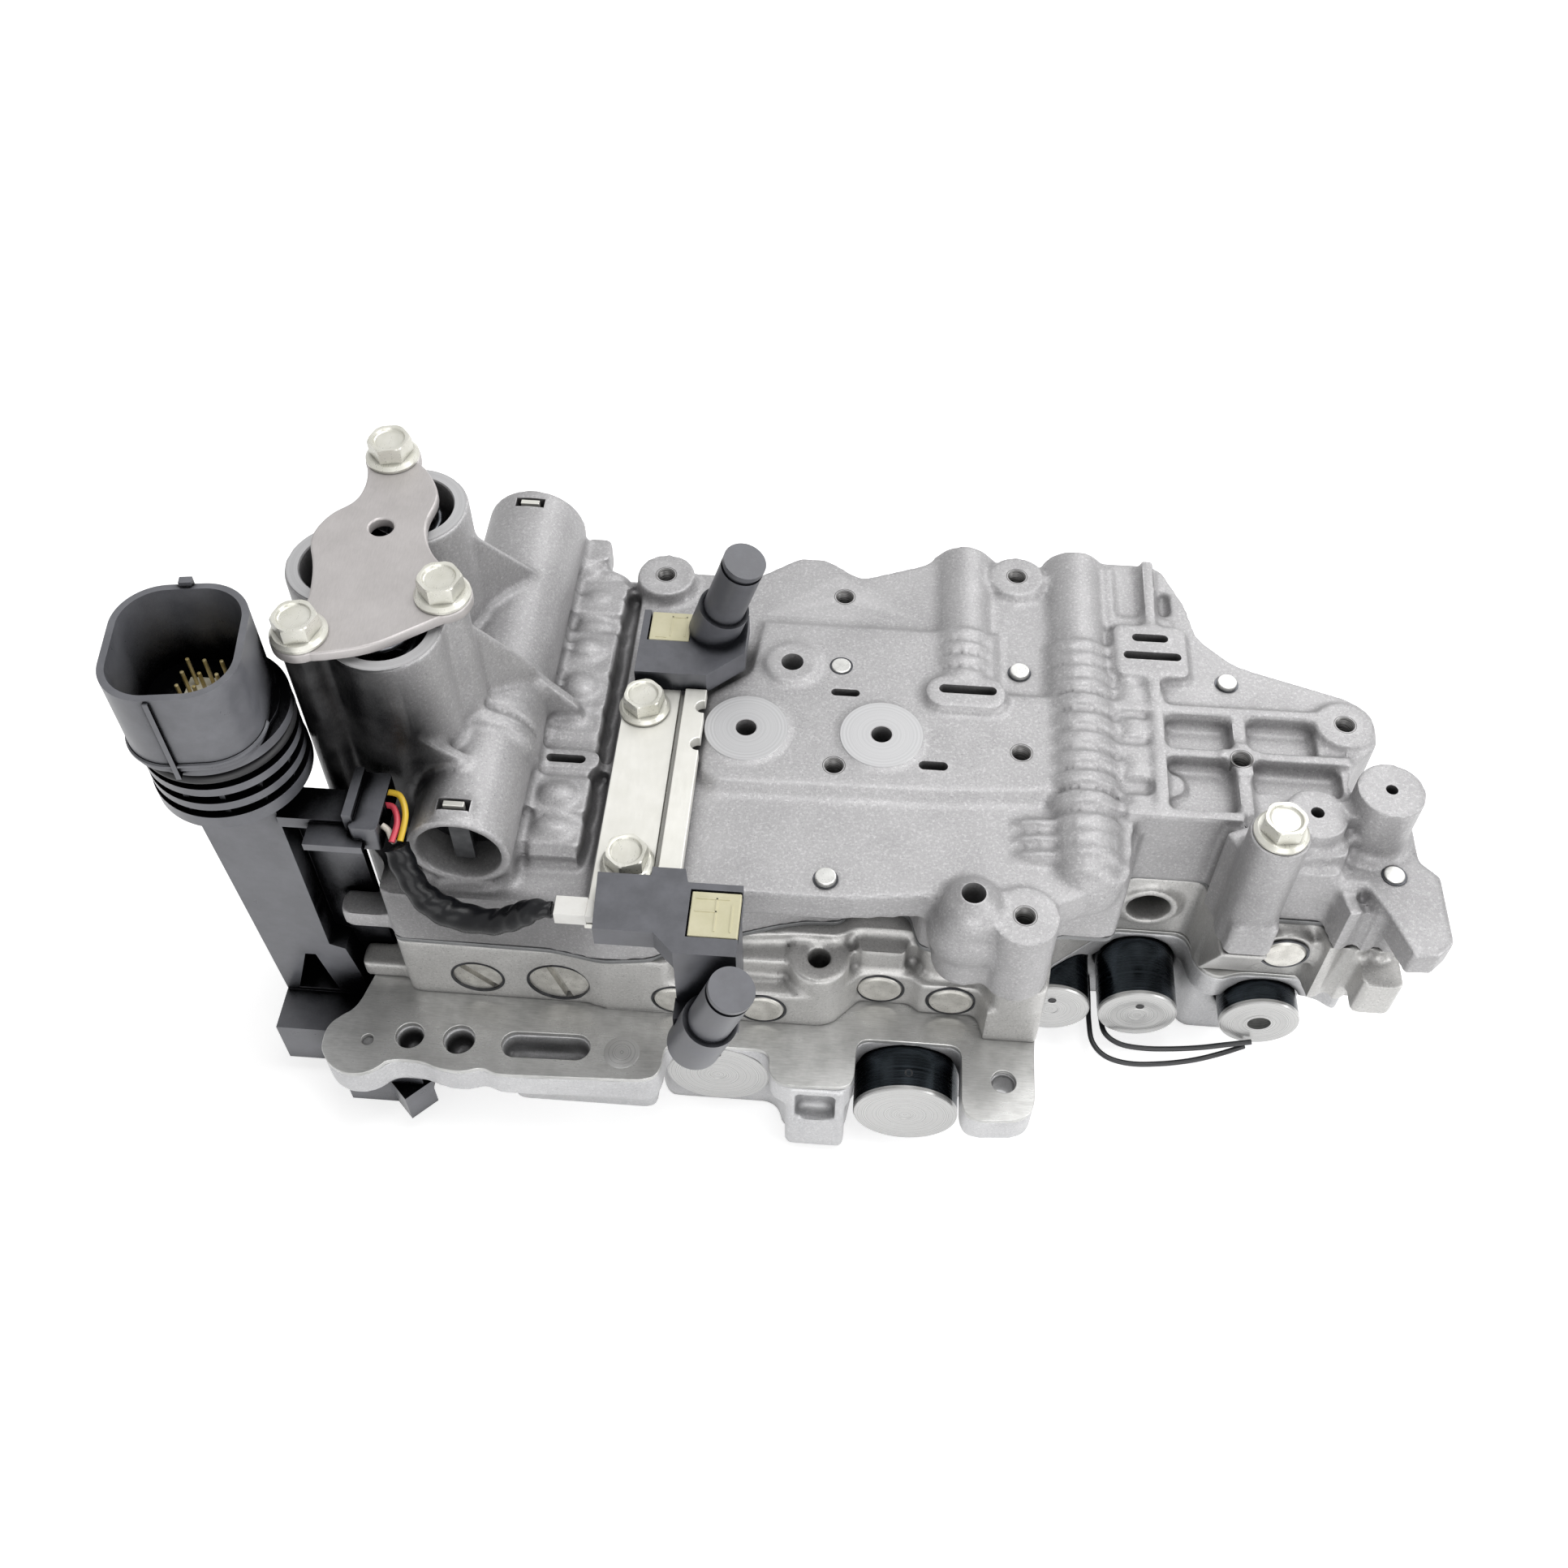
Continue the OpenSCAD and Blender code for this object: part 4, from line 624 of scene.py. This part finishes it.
def cast(node, material, lumps=None, filled=None, cutter=None):
    """Casting as it leaves the mould: inner corners filled, edges rounded, then the machined holes cut."""
    bm = bmesh.new()
    bm.from_mesh(nodes[node].data)
    for extra in (lumps, filled):
        if extra:
            bm.from_mesh(extra)
    bmesh.ops.remove_doubles(bm, verts=bm.verts, dist=1e-6)
    rough = bpy.data.meshes.new(node + "_rough")
    bm.to_mesh(rough)
    bm.free()
    voxel = {"mode": "VOXEL", "voxel_size": VOXEL * MM}
    cast_mesh = evaluated(node + "_cast", rough, [
        ("REMESH", voxel),
        ("DISPLACE", {"strength": FILLET * MM, "mid_level": 0.0}),
        ("REMESH", voxel),
        ("DISPLACE", {"strength": -FILLET * MM, "mid_level": 0.0}),
        ("SMOOTH", {"factor": 0.5, "iterations": SMOOTHING}),
    ])
    if cutter:
        tool = bpy.data.objects.new("tool", cutter)
        scene.collection.objects.link(tool)
        cast_mesh = evaluated(node + "_cut", cast_mesh, [
            ("BOOLEAN", {"operation": "DIFFERENCE", "object": tool, "solver": "MANIFOLD"})])
        bpy.data.objects.remove(tool)
    triangles = sum(len(p.vertices) - 2 for p in cast_mesh.polygons)
    if triangles > MOST_TRIANGLES:
        ratio = MOST_TRIANGLES / triangles
        cast_mesh = evaluated(node + "_light", cast_mesh, [("DECIMATE", {"ratio": ratio})])
    mark_bends(cast_mesh)
    mark_oil(cast_mesh, PAINTED_SHADE_ZONES[node])
    cast_mesh.name = node + "_casting"
    show(node + "_casting", cast_mesh, material, (node,), angle=50)


cast("upper_body", CAST_GREY, cast_lumps(), drills(0.5, 0.0), drills(0.0, 3.0))
cast("middle_body", CAST_MIDDLE)
cast("lower_body", CAST_BRIGHT)

# Machined details of the castings


def machined_details():
    """Spot faces, accumulator rims and threads, which were cut after casting."""
    bm = bmesh.new()
    rise, sunk, inner = 0.04, -0.6, DISC_HOLE_R + 0.3
    face = [(inner, sunk), (inner, rise), (DISC_R - 0.15, rise), (DISC_R, -0.1), (DISC_R, sunk),
            (inner, sunk)]
    for x, y in DISCS:
        lathe(bm, stand(x, y, 0), face, 96)
    rise, inner, outer = 0.06, ACCUMULATOR_R, ACCUMULATOR_RIM_R
    face = [(inner + 0.3, rise), (outer, rise), (outer, sunk), (inner, sunk), (inner, -0.3),
            (inner + 0.3, rise)]
    for x, y in ACCUMULATORS:
        lathe(bm, stand(x, y, ACCUMULATOR_TOP), face, 72)
    show("machined_faces", bm, TURNED_PALE, angle=25)
    bm = bmesh.new()
    pitch, crest, turns, lead_in = 1.0, TAP_R - 0.42, 12, 0.45
    for x, y, rim in TAPS:
        profile = [(TAP_R + 0.5, rim - 0.9), (TAP_R + 0.45, rim + 0.04), (TAP_R + 0.3, rim + 0.04),
                   (crest + 0.1, rim - lead_in)]
        for k in range(turns):
            profile += [(TAP_R - 0.02, rim - lead_in - pitch * (k + 0.5)),
                        (crest, rim - lead_in - pitch * (k + 1))]
        profile += [(TAP_R + 0.5, rim - lead_in - pitch * turns), (TAP_R + 0.5, rim - 0.9)]
        lathe(bm, stand(x, y, 0), profile, 40)
    show("tapped_threads", bm, THREAD, angle=25)


machined_details()

# Plates


def plate_outlines(node):
    """Loops round the top face of a flat CAD node, in mm, outer loop first."""
    mesh = nodes[node].data
    top = max(v.co.z for v in mesh.vertices)
    bm = bmesh.new()
    bm.from_mesh(mesh)
    bmesh.ops.remove_doubles(bm, verts=bm.verts, dist=1e-6)
    flat = {f for f in bm.faces if all(abs(v.co.z - top) < 1e-6 for v in f.verts)}
    after = {}
    for f in flat:
        for loop in f.loops:
            if sum(g in flat for g in loop.edge.link_faces) == 1:
                after[loop.vert] = loop.link_loop_next.vert
    loops = []
    while after:
        first = next(iter(after))
        points, here = [], first
        while here in after:
            points.append(here.co.xy.copy())
            here = after.pop(here)
        loops.append(points)
    bm.free()
    loops.sort(key=lambda p: -max((q - p[0]).length for q in p))
    return loops, top


def eased(points, trim):
    """Loop with each corner sharper than 8 degrees eased by a short curve."""
    steps, out = 4, []
    n = len(points)
    for i in range(n):
        a, b, c = points[i - 1], points[i], points[(i + 1) % n]
        u, v = a - b, c - b
        if math.pi - u.angle(v) < math.radians(8):
            out.append(b)
            continue
        near, far = min(trim, 0.45 * u.length), min(trim, 0.45 * v.length)
        p, q = b + u.normalized() * near, b + v.normalized() * far
        for k in range(steps + 1):
            t = k / steps
            out.append(p * (1 - t) ** 2 + b * 2 * t * (1 - t) + q * t * t)
    return out


def blanked_plate(node, material, trim, edge):
    """Sheet blanked from the CAD outline, with eased corners and a rolled edge in mm."""
    loops, top = plate_outlines(node)
    low = min(v.co.z for v in nodes[node].data.vertices)
    curve = bpy.data.curves.new(node, "CURVE")
    curve.dimensions = "2D"
    curve.fill_mode = "BOTH"
    curve.extrude = (top - low) / 2 - edge * MM
    curve.bevel_depth = edge * MM
    curve.bevel_resolution = 2
    curve.offset = -edge * MM
    for i, loop in enumerate(loops):
        points = eased(loop, trim * MM) if i == 0 else loop
        spline = curve.splines.new("POLY")
        spline.points.add(len(points) - 1)
        for p, q in zip(spline.points, points):
            p.co = (q.x, q.y, 0, 1)
        spline.use_cyclic_u = True
    obj = bpy.data.objects.new(node, curve)
    scene.collection.objects.link(obj)
    obj.location.z = (top + low) / 2
    graph = bpy.context.evaluated_depsgraph_get()
    mesh = bpy.data.meshes.new_from_object(obj.evaluated_get(graph))
    mesh.transform(Matrix.Translation(obj.location))
    bpy.data.objects.remove(obj)
    show(node + "_sheet", mesh, material, (node,), angle=30)


blanked_plate("upper_plate", PLATE_DARK, 3.0, 0.15)
blanked_plate("lower_plate", PLATE_SATIN, 4.0, 0.2)
blanked_plate("accumulator_cover", PLATE_PRESSED, 6.0, 0.55)

# Fasteners

BOLT_SHANK_R, HEX_HALF, FLANGE_R, HEAD_H = 3.0, 5.0, 7.0, 6.4


def flange_bolt(bm, place, length):
    """Flange bolt: sloping flange, chamfered hexagon and dished top."""
    shank = [(0, -length), (BOLT_SHANK_R - 0.6, -length), (BOLT_SHANK_R, -length + 0.8), (BOLT_SHANK_R, 0)]
    flange = [(FLANGE_R - 0.2, 0), (FLANGE_R, 0.2), (FLANGE_R, 0.9), (FLANGE_R - 0.3, 1.25), (6.2, 1.8)]
    hexagon = [(6.0, 1.95, "hex"), (5.85, 2.3, "hex"), (5.85, 5.6, "hex"), (5.55, 6.1, "hex"),
               (5.25, HEAD_H, "hex")]
    dish = [(4.5, HEAD_H), (4.2, 6.3), (3.9, 5.8), (3.6, 5.6), (2.2, 5.5), (0, 5.5)]
    lathe(bm, place, shank + flange + hexagon + dish, 72, HEX_HALF)


def bolts(name, node, places, length, turn):
    """Flange bolts of one length, whose heads stand at one turn."""
    bm = bmesh.new()
    for place in places:
        flange_bolt(bm, stand(*place, turn), length)
    show(name, bm, ZINC, (node,), angle=24)


def tilt(degrees):
    """Turn of a bolt about its own axis."""
    return Matrix.Rotation(math.radians(degrees), 4, "Z")


COVER_TOP, STACK_SEAT = 60.5, -86
COVER_XY = [(-107.5, 53.5), (-84, 4.5), (-115.5, -11)]
STACK_XY = [(-98, 48), (-100, -22), (-58, 40), (-46, -26), (12, -18), (12, 60), (66, 62), (124, 38)]
bolts("cover_flange_bolts", "cover_bolts", [(*spot, COVER_TOP) for spot in COVER_XY], 15, tilt(12))
bolts("bracket_flange_bolts", "bracket_bolts", [(-40.5, 22, 2), (-38, -31, 2)], 13, tilt(20))
bolts("case_flange_bolt", "case_bolt", [(127, -17, 14.5)], 53.1, tilt(8))
bolts("stack_flange_bolts", "stack_bolts", [(*spot, STACK_SEAT) for spot in STACK_XY], 70,
      Matrix.Rotation(math.pi, 4, "X"))

# Plugs, and the gaps round plugs and pins

# Front of the middle casting: x and y of the press-in plugs, x and radius of the slotted ones
FRONT_PLUGS, FRONT_PLUG_Z = [(-27, -39.6), (-3, -40.5), (29.5, -31.5), (49.5, -34)], -50.4
SLOTTED_PLUGS, SLOTTED_Y, SLOTTED_Z = [(-83, 7), (-60, 8.5)], -38, -48
END_PLUG_X, END_PLUG_Y, END_PLUG_Z = 141, -17.6, -40.2
# Dowel pins: x, y and the height of the face round them
PINS, PIN_R = [(13, 44.5, -0.6), (64, 48, ROOF), (13, -28, ROOF), (123, 48.5, ROOF), (163.5, -10, -10)], 2.8
LINE_RISE, LINE_DEPTH = 0.04, 0.5


def turned_plugs():
    """Press-in plugs along the front and the plugs of the two humps."""
    bm = bmesh.new()
    profile = [(0, -10.4), (6.36, -10.4), (6.36, -0.8), (6.0, -0.25), (5.2, 0), (4.6, -0.05), (0, -0.05)]
    for x, y in FRONT_PLUGS:
        lathe(bm, stand(x, y - 0.4, FRONT_PLUG_Z, TO_FRONT), profile, 56)
    show("front_press_plugs", bm, PLUG_STEEL, ("front_plugs",), angle=20)
    bm = bmesh.new()
    profile = [(0, -12.2), (6.16, -12.2), (6.16, -0.9), (5.5, -0.2), (4.4, 0), (0, 0)]
    lathe(bm, stand(END_PLUG_X, END_PLUG_Y - 0.6, END_PLUG_Z, TO_FRONT), profile, 56)
    show("end_press_plug", bm, PLUG_STEEL, ("end_plug",), angle=20)
    bm = bmesh.new()
    lathe(bm, stand(-41, -53, -58), [(0, -0.4), (5, -0.4), (5, 0.06), (4.6, 0.16), (0, 0.16)], 48)
    show("plate_rivet_plug", bm, TURNED, angle=20)
    bm = bmesh.new()
    for x, r in ((48, 6.46), (81, 6.96)):
        profile = [(0, -5.2), (r, -5.2), (r, -0.6), (r - 0.6, 0), (3, 0), (3, -1.2), (0, -1.2)]
        lathe(bm, stand(x, 94.2, -8.5, TO_BACK), profile, 56)
    show("hump_end_plugs", bm, TURNED, ("hump_plugs",), angle=20)


turned_plugs()


def joint_lines():
    """Painted shade: a dark line in the gap round each pin and plug."""
    bm = bmesh.new()
    rings = [(stand(x, y, z), PIN_R + 0.02, 0.5) for x, y, z in PINS]
    rings += [(stand(x, y, FRONT_PLUG_Z, TO_FRONT), 6.4, 0.6) for x, y in FRONT_PLUGS]
    rings += [(stand(x, SLOTTED_Y, SLOTTED_Z, TO_FRONT), r - 0.1, 0.7) for x, r in SLOTTED_PLUGS]
    rings += [(stand(END_PLUG_X, END_PLUG_Y, END_PLUG_Z, TO_FRONT), 6.2, 0.6)]
    for place, r, width in rings:
        edge = r + width
        lathe(bm, place, [(r, -LINE_DEPTH), (r, LINE_RISE), (edge, LINE_RISE), (edge, -LINE_DEPTH)], 56)
    show("joint_lines", bm, SHADE_DARK, angle=25)


joint_lines()

# Solenoids: x, face y, centre z, can radius, can length, open face
SOLENOIDS = [(-15, -48.5, -75.6, 14.8, 40, False), (39, -57, -75.6, 14.8, 40, False),
             (80.5, -20.5, -73.5, 11.5, 30, False), (106, -20.5, -73.5, 11.5, 30, False),
             (141.5, -20.5, -73.5, 11.5, 30, True)]
NOSE_R, NOSE_L = 7.0, 25.0


def solenoid(number, x, y, z, r, can, is_open):
    """Solenoid: drawn can with a turned, slightly stepped face, and its nose in the casting."""
    centre = [(4.4, 0), (4.4, -7), (0, -7)] if is_open else [(2.4, 0), (2.3, -0.12), (0, -0.12)]
    bm = bmesh.new()
    back = -can - NOSE_L
    profile = [(0, back), (NOSE_R - 0.5, back), (NOSE_R, back + 0.5), (NOSE_R, -can), (r - 0.5, -can),
               (r, -can + 0.5), (r, -1.6)]
    lathe(bm, stand(x, y, z, TO_FRONT), profile, 96)
    can_mesh = close_mesh("can", bm)
    bm = bmesh.new()
    profile = [(r, -1.6), (r, -0.7), (r - 0.25, -0.2), (r - 0.8, 0), (r * 0.62, 0), (r * 0.6, -0.08),
               (r * 0.3, -0.08), (r * 0.29, 0)]
    lathe(bm, stand(x, y, z, TO_FRONT), profile + centre, 96)
    face_mesh = close_mesh("face", bm)
    bm = bmesh.new()
    bm.from_mesh(can_mesh)
    edge = len(bm.faces)
    bm.from_mesh(face_mesh)
    bm.faces.ensure_lookup_table()
    for f in bm.faces[edge:]:
        f.material_index = 1
    # Vent hole, drilled in the top of the can close behind its face, or in the face: drawn as a flat dark
    # disc, a painted shade of the hole
    up = 0.8 if number == 1 else 0.42
    vent = stand(x, y + 5.5, z + r) if number == 2 else stand(x, y - 0.03, z + up * r, TO_FRONT)
    made = len(bm.faces)
    if not is_open:
        lathe(bm, vent, [(0, -0.02), (0.9, -0.02), (1.1, 0.05), (1.25, -0.1)], 24)
    bmesh.ops.remove_doubles(bm, verts=bm.verts, dist=1e-7)
    bmesh.ops.recalc_face_normals(bm, faces=bm.faces)
    bm.faces.ensure_lookup_table()
    for f in bm.faces[made:]:
        f.material_index = 2
    mesh = bpy.data.meshes.new(f"solenoid_{number}_unit")
    bm.to_mesh(mesh)
    bm.free()
    parts = [f.material_index for f in mesh.polygons]
    show(f"solenoid_{number}_unit", mesh, CAN, (f"solenoid_{number}",), angle=22)
    mesh.materials.append(TURNED)
    mesh.materials.append(RUBBER)
    mesh.polygons.foreach_set("material_index", parts)


for i, sizes in enumerate(SOLENOIDS):
    solenoid(i + 1, *sizes)

# Leads, along the routes that the CAD holds

LEAD = [(-94.5, -38.2, 13.5), (-92, -42, 8), (-88, -44.6, 1), (-81, -46.5, -3), (-71, -48, -3),
        (-64, -48.4, 0.8), (-59, -48.5, 4.8), (-54.3, -48.5, 5.3)]
YELLOW = [(-99, -25, 18.5), (-95.4, -26.2, 18.7), (-93.2, -31, 17.4), (-93.7, -37.2, 14.6)]
RED = [(-99, -28, 17), (-96.6, -29, 17.3), (-95, -33, 16.6), (-95.7, -37.8, 14.8)]
WHITE = [(-99, -33.4, 15.6), (-97.4, -34.2, 14.9), (-96.4, -35.8, 13.8), (-95.4, -36.8, 13.4)]
LOOP_A = [(94, -0.4, -86), (94, -8, -86), (94, -16, -86.4), (95, -22.5, -87.5), (99, -26.5, -88.6),
          (106, -28.2, -88.8), (115, -28, -88), (124, -27, -86.4), (132, -25, -85), (139.5, -22, -84.6)]
LOOP_B = [(97.2, -0.4, -85.4), (97.2, -8, -85.4), (97.4, -15, -85.4), (98.6, -20.4, -85.6),
          (103, -23.4, -86), (110, -24.4, -85.8), (118, -24.4, -85), (126, -24, -83.8), (133.5, -23, -82.8),
          (141, -22, -81.8)]


def taped(share, angle):
    """Radius of the taped lead: creases across the bends and a slight taper to the plug."""
    crease = 0.34 * math.sin(40 * share + 2 * math.sin(angle)) * math.sin(23 * share + angle)
    return 3.0 + 0.7 * math.sin(math.pi * min(1.0, share * 1.25)) - 0.9 * max(0.0, share - 0.8) / 0.2 + crease


def leads():
    """Taped lead, its three wires and the two loose leads of the solenoids."""
    bm = bmesh.new()
    tube(bm, smooth_route(LEAD, 16), taped, 28)
    show("taped_lead", bm, TAPE, ("sensor_lead",), angle=60)
    for name, route, material in (("yellow", YELLOW, WIRE_YELLOW), ("red", RED, WIRE_RED),
                                  ("white", WHITE, WIRE_WHITE)):
        bm = bmesh.new()
        tube(bm, smooth_route(route, 12), 0.8, 14)
        show(f"{name}_wire", bm, material, (f"lead_wire_{name}",), angle=60)
    bm = bmesh.new()
    for route in (LOOP_A, LOOP_B):
        tube(bm, smooth_route(route, 8), 0.8, 14)
    show("solenoid_wires", bm, WIRE_BLACK, ("solenoid_leads",), angle=60)


leads()

# Springs of the accumulators and spools, each with a mesh of its own

COIL_STEPS = 18


def coil(name, node, base, axis, height, radius, wire, turns):
    """Coil spring from base along axis, wound at an even pitch."""
    path = []
    across = Vector((1, 0, 0))
    other = Vector(axis).cross(across)
    for i in range(COIL_STEPS * turns + 1):
        angle = 2 * math.pi * i / COIL_STEPS
        lift = wire + (height - 2 * wire) * i / (COIL_STEPS * turns)
        way = across * math.cos(angle) + other * math.sin(angle)
        path.append(Vector(base) + Vector(axis) * lift + way * radius)
    bm = bmesh.new()
    tube(bm, path, wire, 10)
    obj = show(name, bm, SPRING, (node,), angle=60)
    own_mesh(obj)


ACC_SPRING_LOW, ACC_SPRING_TOP, ACC_STROKE, SPOOL_STROKE = 21.5, 57.5, 12.0, 6.0
for i, (x, y) in enumerate(ACCUMULATORS):
    height = ACC_SPRING_TOP - ACC_SPRING_LOW
    coil(f"accumulator_coil_{i + 1}", f"accumulator_spring_{i + 1}",
         (x, y, ACC_SPRING_LOW), (0, 0, 1), height, 6.6, 1.1, 6)
# Spool springs: name, x, z, fixed end y, way to the spool, length, coil radius, wire radius, turns
SPOOL_SPRINGS = [("front", TUBE_X, TUBE_Z, -16, 1, 13.7, 7.4, 0.9, 4),
                 ("rear", TUBE_X, TUBE_Z, 70, -1, 13.7, 7.4, 0.9, 4),
                 ("hump", 48, -8.5, 89, -1, 15.7, 4.1, 0.7, 5),
                 ("hump", 81, -8.5, 89, -1, 15.7, 4.6, 0.7, 5),
                 ("regulator", -60, -48, -32, 1, 13.7, 5.5, 0.8, 4)]
for i, (name, x, z, y, way, length, radius, wire, turns) in enumerate(SPOOL_SPRINGS):
    suffix = f"_{i - 1}" if name == "hump" else ""
    coil(f"{name}_coil{suffix}", f"{name}_spring{suffix}", (x, y, z),
         (0, way, 0), length, radius, wire, turns)

# Sensors, connector and small parts


def sensor_marks():
    """Raised moulding lines on the cream windows."""
    bm = bmesh.new()
    top, low = 8.98, 8.6
    lines = [((-35.8, 43.4), (-35.4, 51)), ((-35.8, 50.6), (-31.4, 51)), ((-31.8, 43.4), (-31.4, 51)),
             ((-39.8, 42.8), (-36.6, 43.2)), ((-18.4, -44.6), (-10, -44.2)), ((-18.4, -48.4), (-13, -48)),
             ((-13.4, -54), (-13, -44.2)), ((-9.4, -54), (-9, -46))]
    for a, b in lines:
        box(bm, (*a, low), (*b, top))
    show("window_lines", bm, RESIN)


TOWER = (-136, -25.5)
SHROUD, SHROUD_HALF, SHROUD_ROUND, SHROUD_TURN = (-136.9, -27.5), (16, 18), 12, math.radians(8)
TOWER_LOW, BODY_TOP = 26, 49
GUSSETS, GUSSET_R, BEAD_STEPS = 12, 17.2, 96


def connector_ribs():
    """Gussets between the collars of the connector, and the bead round the foot of its shroud."""
    bm = bmesh.new()
    for k in range(GUSSETS):
        angle = 2 * math.pi * (k + 0.5) / GUSSETS
        x, y = TOWER[0] + GUSSET_R * math.cos(angle), TOWER[1] + GUSSET_R * math.sin(angle)
        box(bm, (x - 0.7, y - 0.7, TOWER_LOW + 4), (x + 0.7, y + 0.7, TOWER_LOW + 13))
    path = []
    for k in range(BEAD_STEPS + 1):
        angle = 2 * math.pi * k / BEAD_STEPS
        x = math.copysign(SHROUD_HALF[0] - SHROUD_ROUND, math.cos(angle)) + SHROUD_ROUND * math.cos(angle)
        y = math.copysign(SHROUD_HALF[1] - SHROUD_ROUND, math.sin(angle)) + SHROUD_ROUND * math.sin(angle)
        path.append(Vector((SHROUD[0] + x * math.cos(SHROUD_TURN) - y * math.sin(SHROUD_TURN),
                            SHROUD[1] + x * math.sin(SHROUD_TURN) + y * math.cos(SHROUD_TURN),
                            BODY_TOP + 2.2)))
    tube(bm, path, 0.7, 8)
    show("connector_gussets", bm, NYLON_BLACK)


# CAD nodes that keep their shape: finish, bevel in mm, nodes
DRESSED = [
    (NYLON_BLACK, 0.45, ["connector_shell", "wiring_duct", "branch_housing"]),
    (NYLON_GREY, 0.6, ["sensor_1", "sensor_2"]),
    (RESIN, 0.3, ["sensor_1_window", "sensor_2_window"]),
    (INSERT, 0.4, ["connector_insert"]),
    (RUBBER, 0.0, ["connector_seal"]),
    (BRASS, 0.15, ["connector_pins"]),
    (NYLON_WHITE, 0.5, ["sensor_plug"]),
    (ZINC_SHEET, 0.3, ["sensor_bracket"]),
    (CLIP, 0.2, ["retainer_clips"]),
    (SHADE_DARK, 0.3, ["tube_plugs"]),
    (PIN_STEEL, 0.35, ["dowel_pins"]),
    (PLUG_STEEL, 0.3, ["slotted_plug_1", "slotted_plug_2"]),
    (VALVE, 0.2, ["accumulator_piston_1", "accumulator_piston_2", "accumulator_piston_3"]),
    (VALVE, 0.2, ["hump_spool_1", "hump_spool_2", "front_spool", "rear_spool", "regulator_spool"])]

sensor_marks()
connector_ribs()
for finish, bevel, dressed in DRESSED:
    for node in dressed:
        dress(node, finish, bevel)

# Floor, light and camera


def seen_rays(tree):
    """1 for the rays of the lens, of metal and of glass, and 0 for the light that falls on the part."""
    path = add(tree, "LightPath")
    most = {"operation": "MAXIMUM"}
    seen = add(tree, "Math", most, i0=path.outputs["Is Camera Ray"], i1=path.outputs["Is Glossy Ray"])
    return add(tree, "Math", most, i0=seen, i1=path.outputs["Is Transmission Ray"])


# Lamps: place in metres, size in metres, watts; all of them aim at one point
LAMPS = [("key", (0.2, 0.1, 1.15), 0.6, 5.4), ("back", (0.45, 0.75, 0.8), 0.5, 2.8),
         ("front", (0.2, -1.15, 0.4), 0.9, 6.0), ("side", (0.95, -0.25, 0.55), 0.6, 4.0)]
AIM = Vector((0, 0, 0.06))


def studio():
    """White sweep and soft lamps: the floor keeps a faint shadow, and lens and metal see white behind."""
    mesh = bpy.data.meshes.new("floor")
    half = 3.0
    mesh.from_pydata([(-half, -half, 0), (half, -half, 0), (half, half, 0), (-half, half, 0)], [],
                     [(0, 1, 2, 3)])
    floor = bpy.data.objects.new("floor", mesh)
    scene.collection.objects.link(floor)
    material = bpy.data.materials.new("floor_paper")
    tree = empty_tree(material)
    paper = add(tree, "BsdfDiffuse", Color=linear("#EDEDED"))
    glow = add(tree, "Emission", Strength=0.62)
    lit = add(tree, "AddShader", i0=paper, i1=glow)
    both = add(tree, "MixShader", i0=seen_rays(tree), i1=paper, i2=lit)
    add(tree, "OutputMaterial", Surface=both)
    mesh.materials.append(material)

    world = bpy.data.worlds.new("studio")
    scene.world = world
    tree = empty_tree(world)
    level = add(tree, "MapRange", Value=seen_rays(tree), To_Min=0.28, To_Max=1.0)
    sky = add(tree, "Background", Color=(1, 1, 1, 1), Strength=level)
    add(tree, "OutputWorld", Surface=sky)

    for name, place, size, watts in LAMPS:
        lamp = bpy.data.lights.new(name, "AREA")
        lamp.size = size
        lamp.energy = watts
        obj = bpy.data.objects.new(name, lamp)
        obj.location = place
        obj.rotation_euler = (AIM - Vector(place)).to_track_quat("-Z", "Y").to_euler()
        scene.collection.objects.link(obj)


def camera():
    """Camera at the photograph's place: above the front, a little to the right."""
    rise, swing, roll, distance = math.radians(52), math.radians(4.2), math.radians(0.3), 437.0
    image, focus_pixels, film = 1932, 2000, 36.0
    back = Vector((math.sin(swing) * math.cos(rise), -math.cos(swing) * math.cos(rise), math.sin(rise)))
    right = Vector((math.cos(swing), math.sin(swing), 0))
    up = back.cross(right)
    tilted_right = right * math.cos(roll) + up * math.sin(roll)
    tilted_up = up * math.cos(roll) - right * math.sin(roll)
    lens = bpy.data.cameras.new("camera")
    lens.sensor_width = film
    lens.lens = film * focus_pixels / image
    lens.clip_start = 0.01
    obj = bpy.data.objects.new("camera", lens)
    turn = Matrix((tilted_right, tilted_up, back)).transposed().to_4x4()
    obj.matrix_world = Matrix.Translation(at(*(back * distance))) @ turn
    scene.collection.objects.link(obj)
    scene.camera = obj


studio()
camera()
scene.view_settings.view_transform = "Standard"
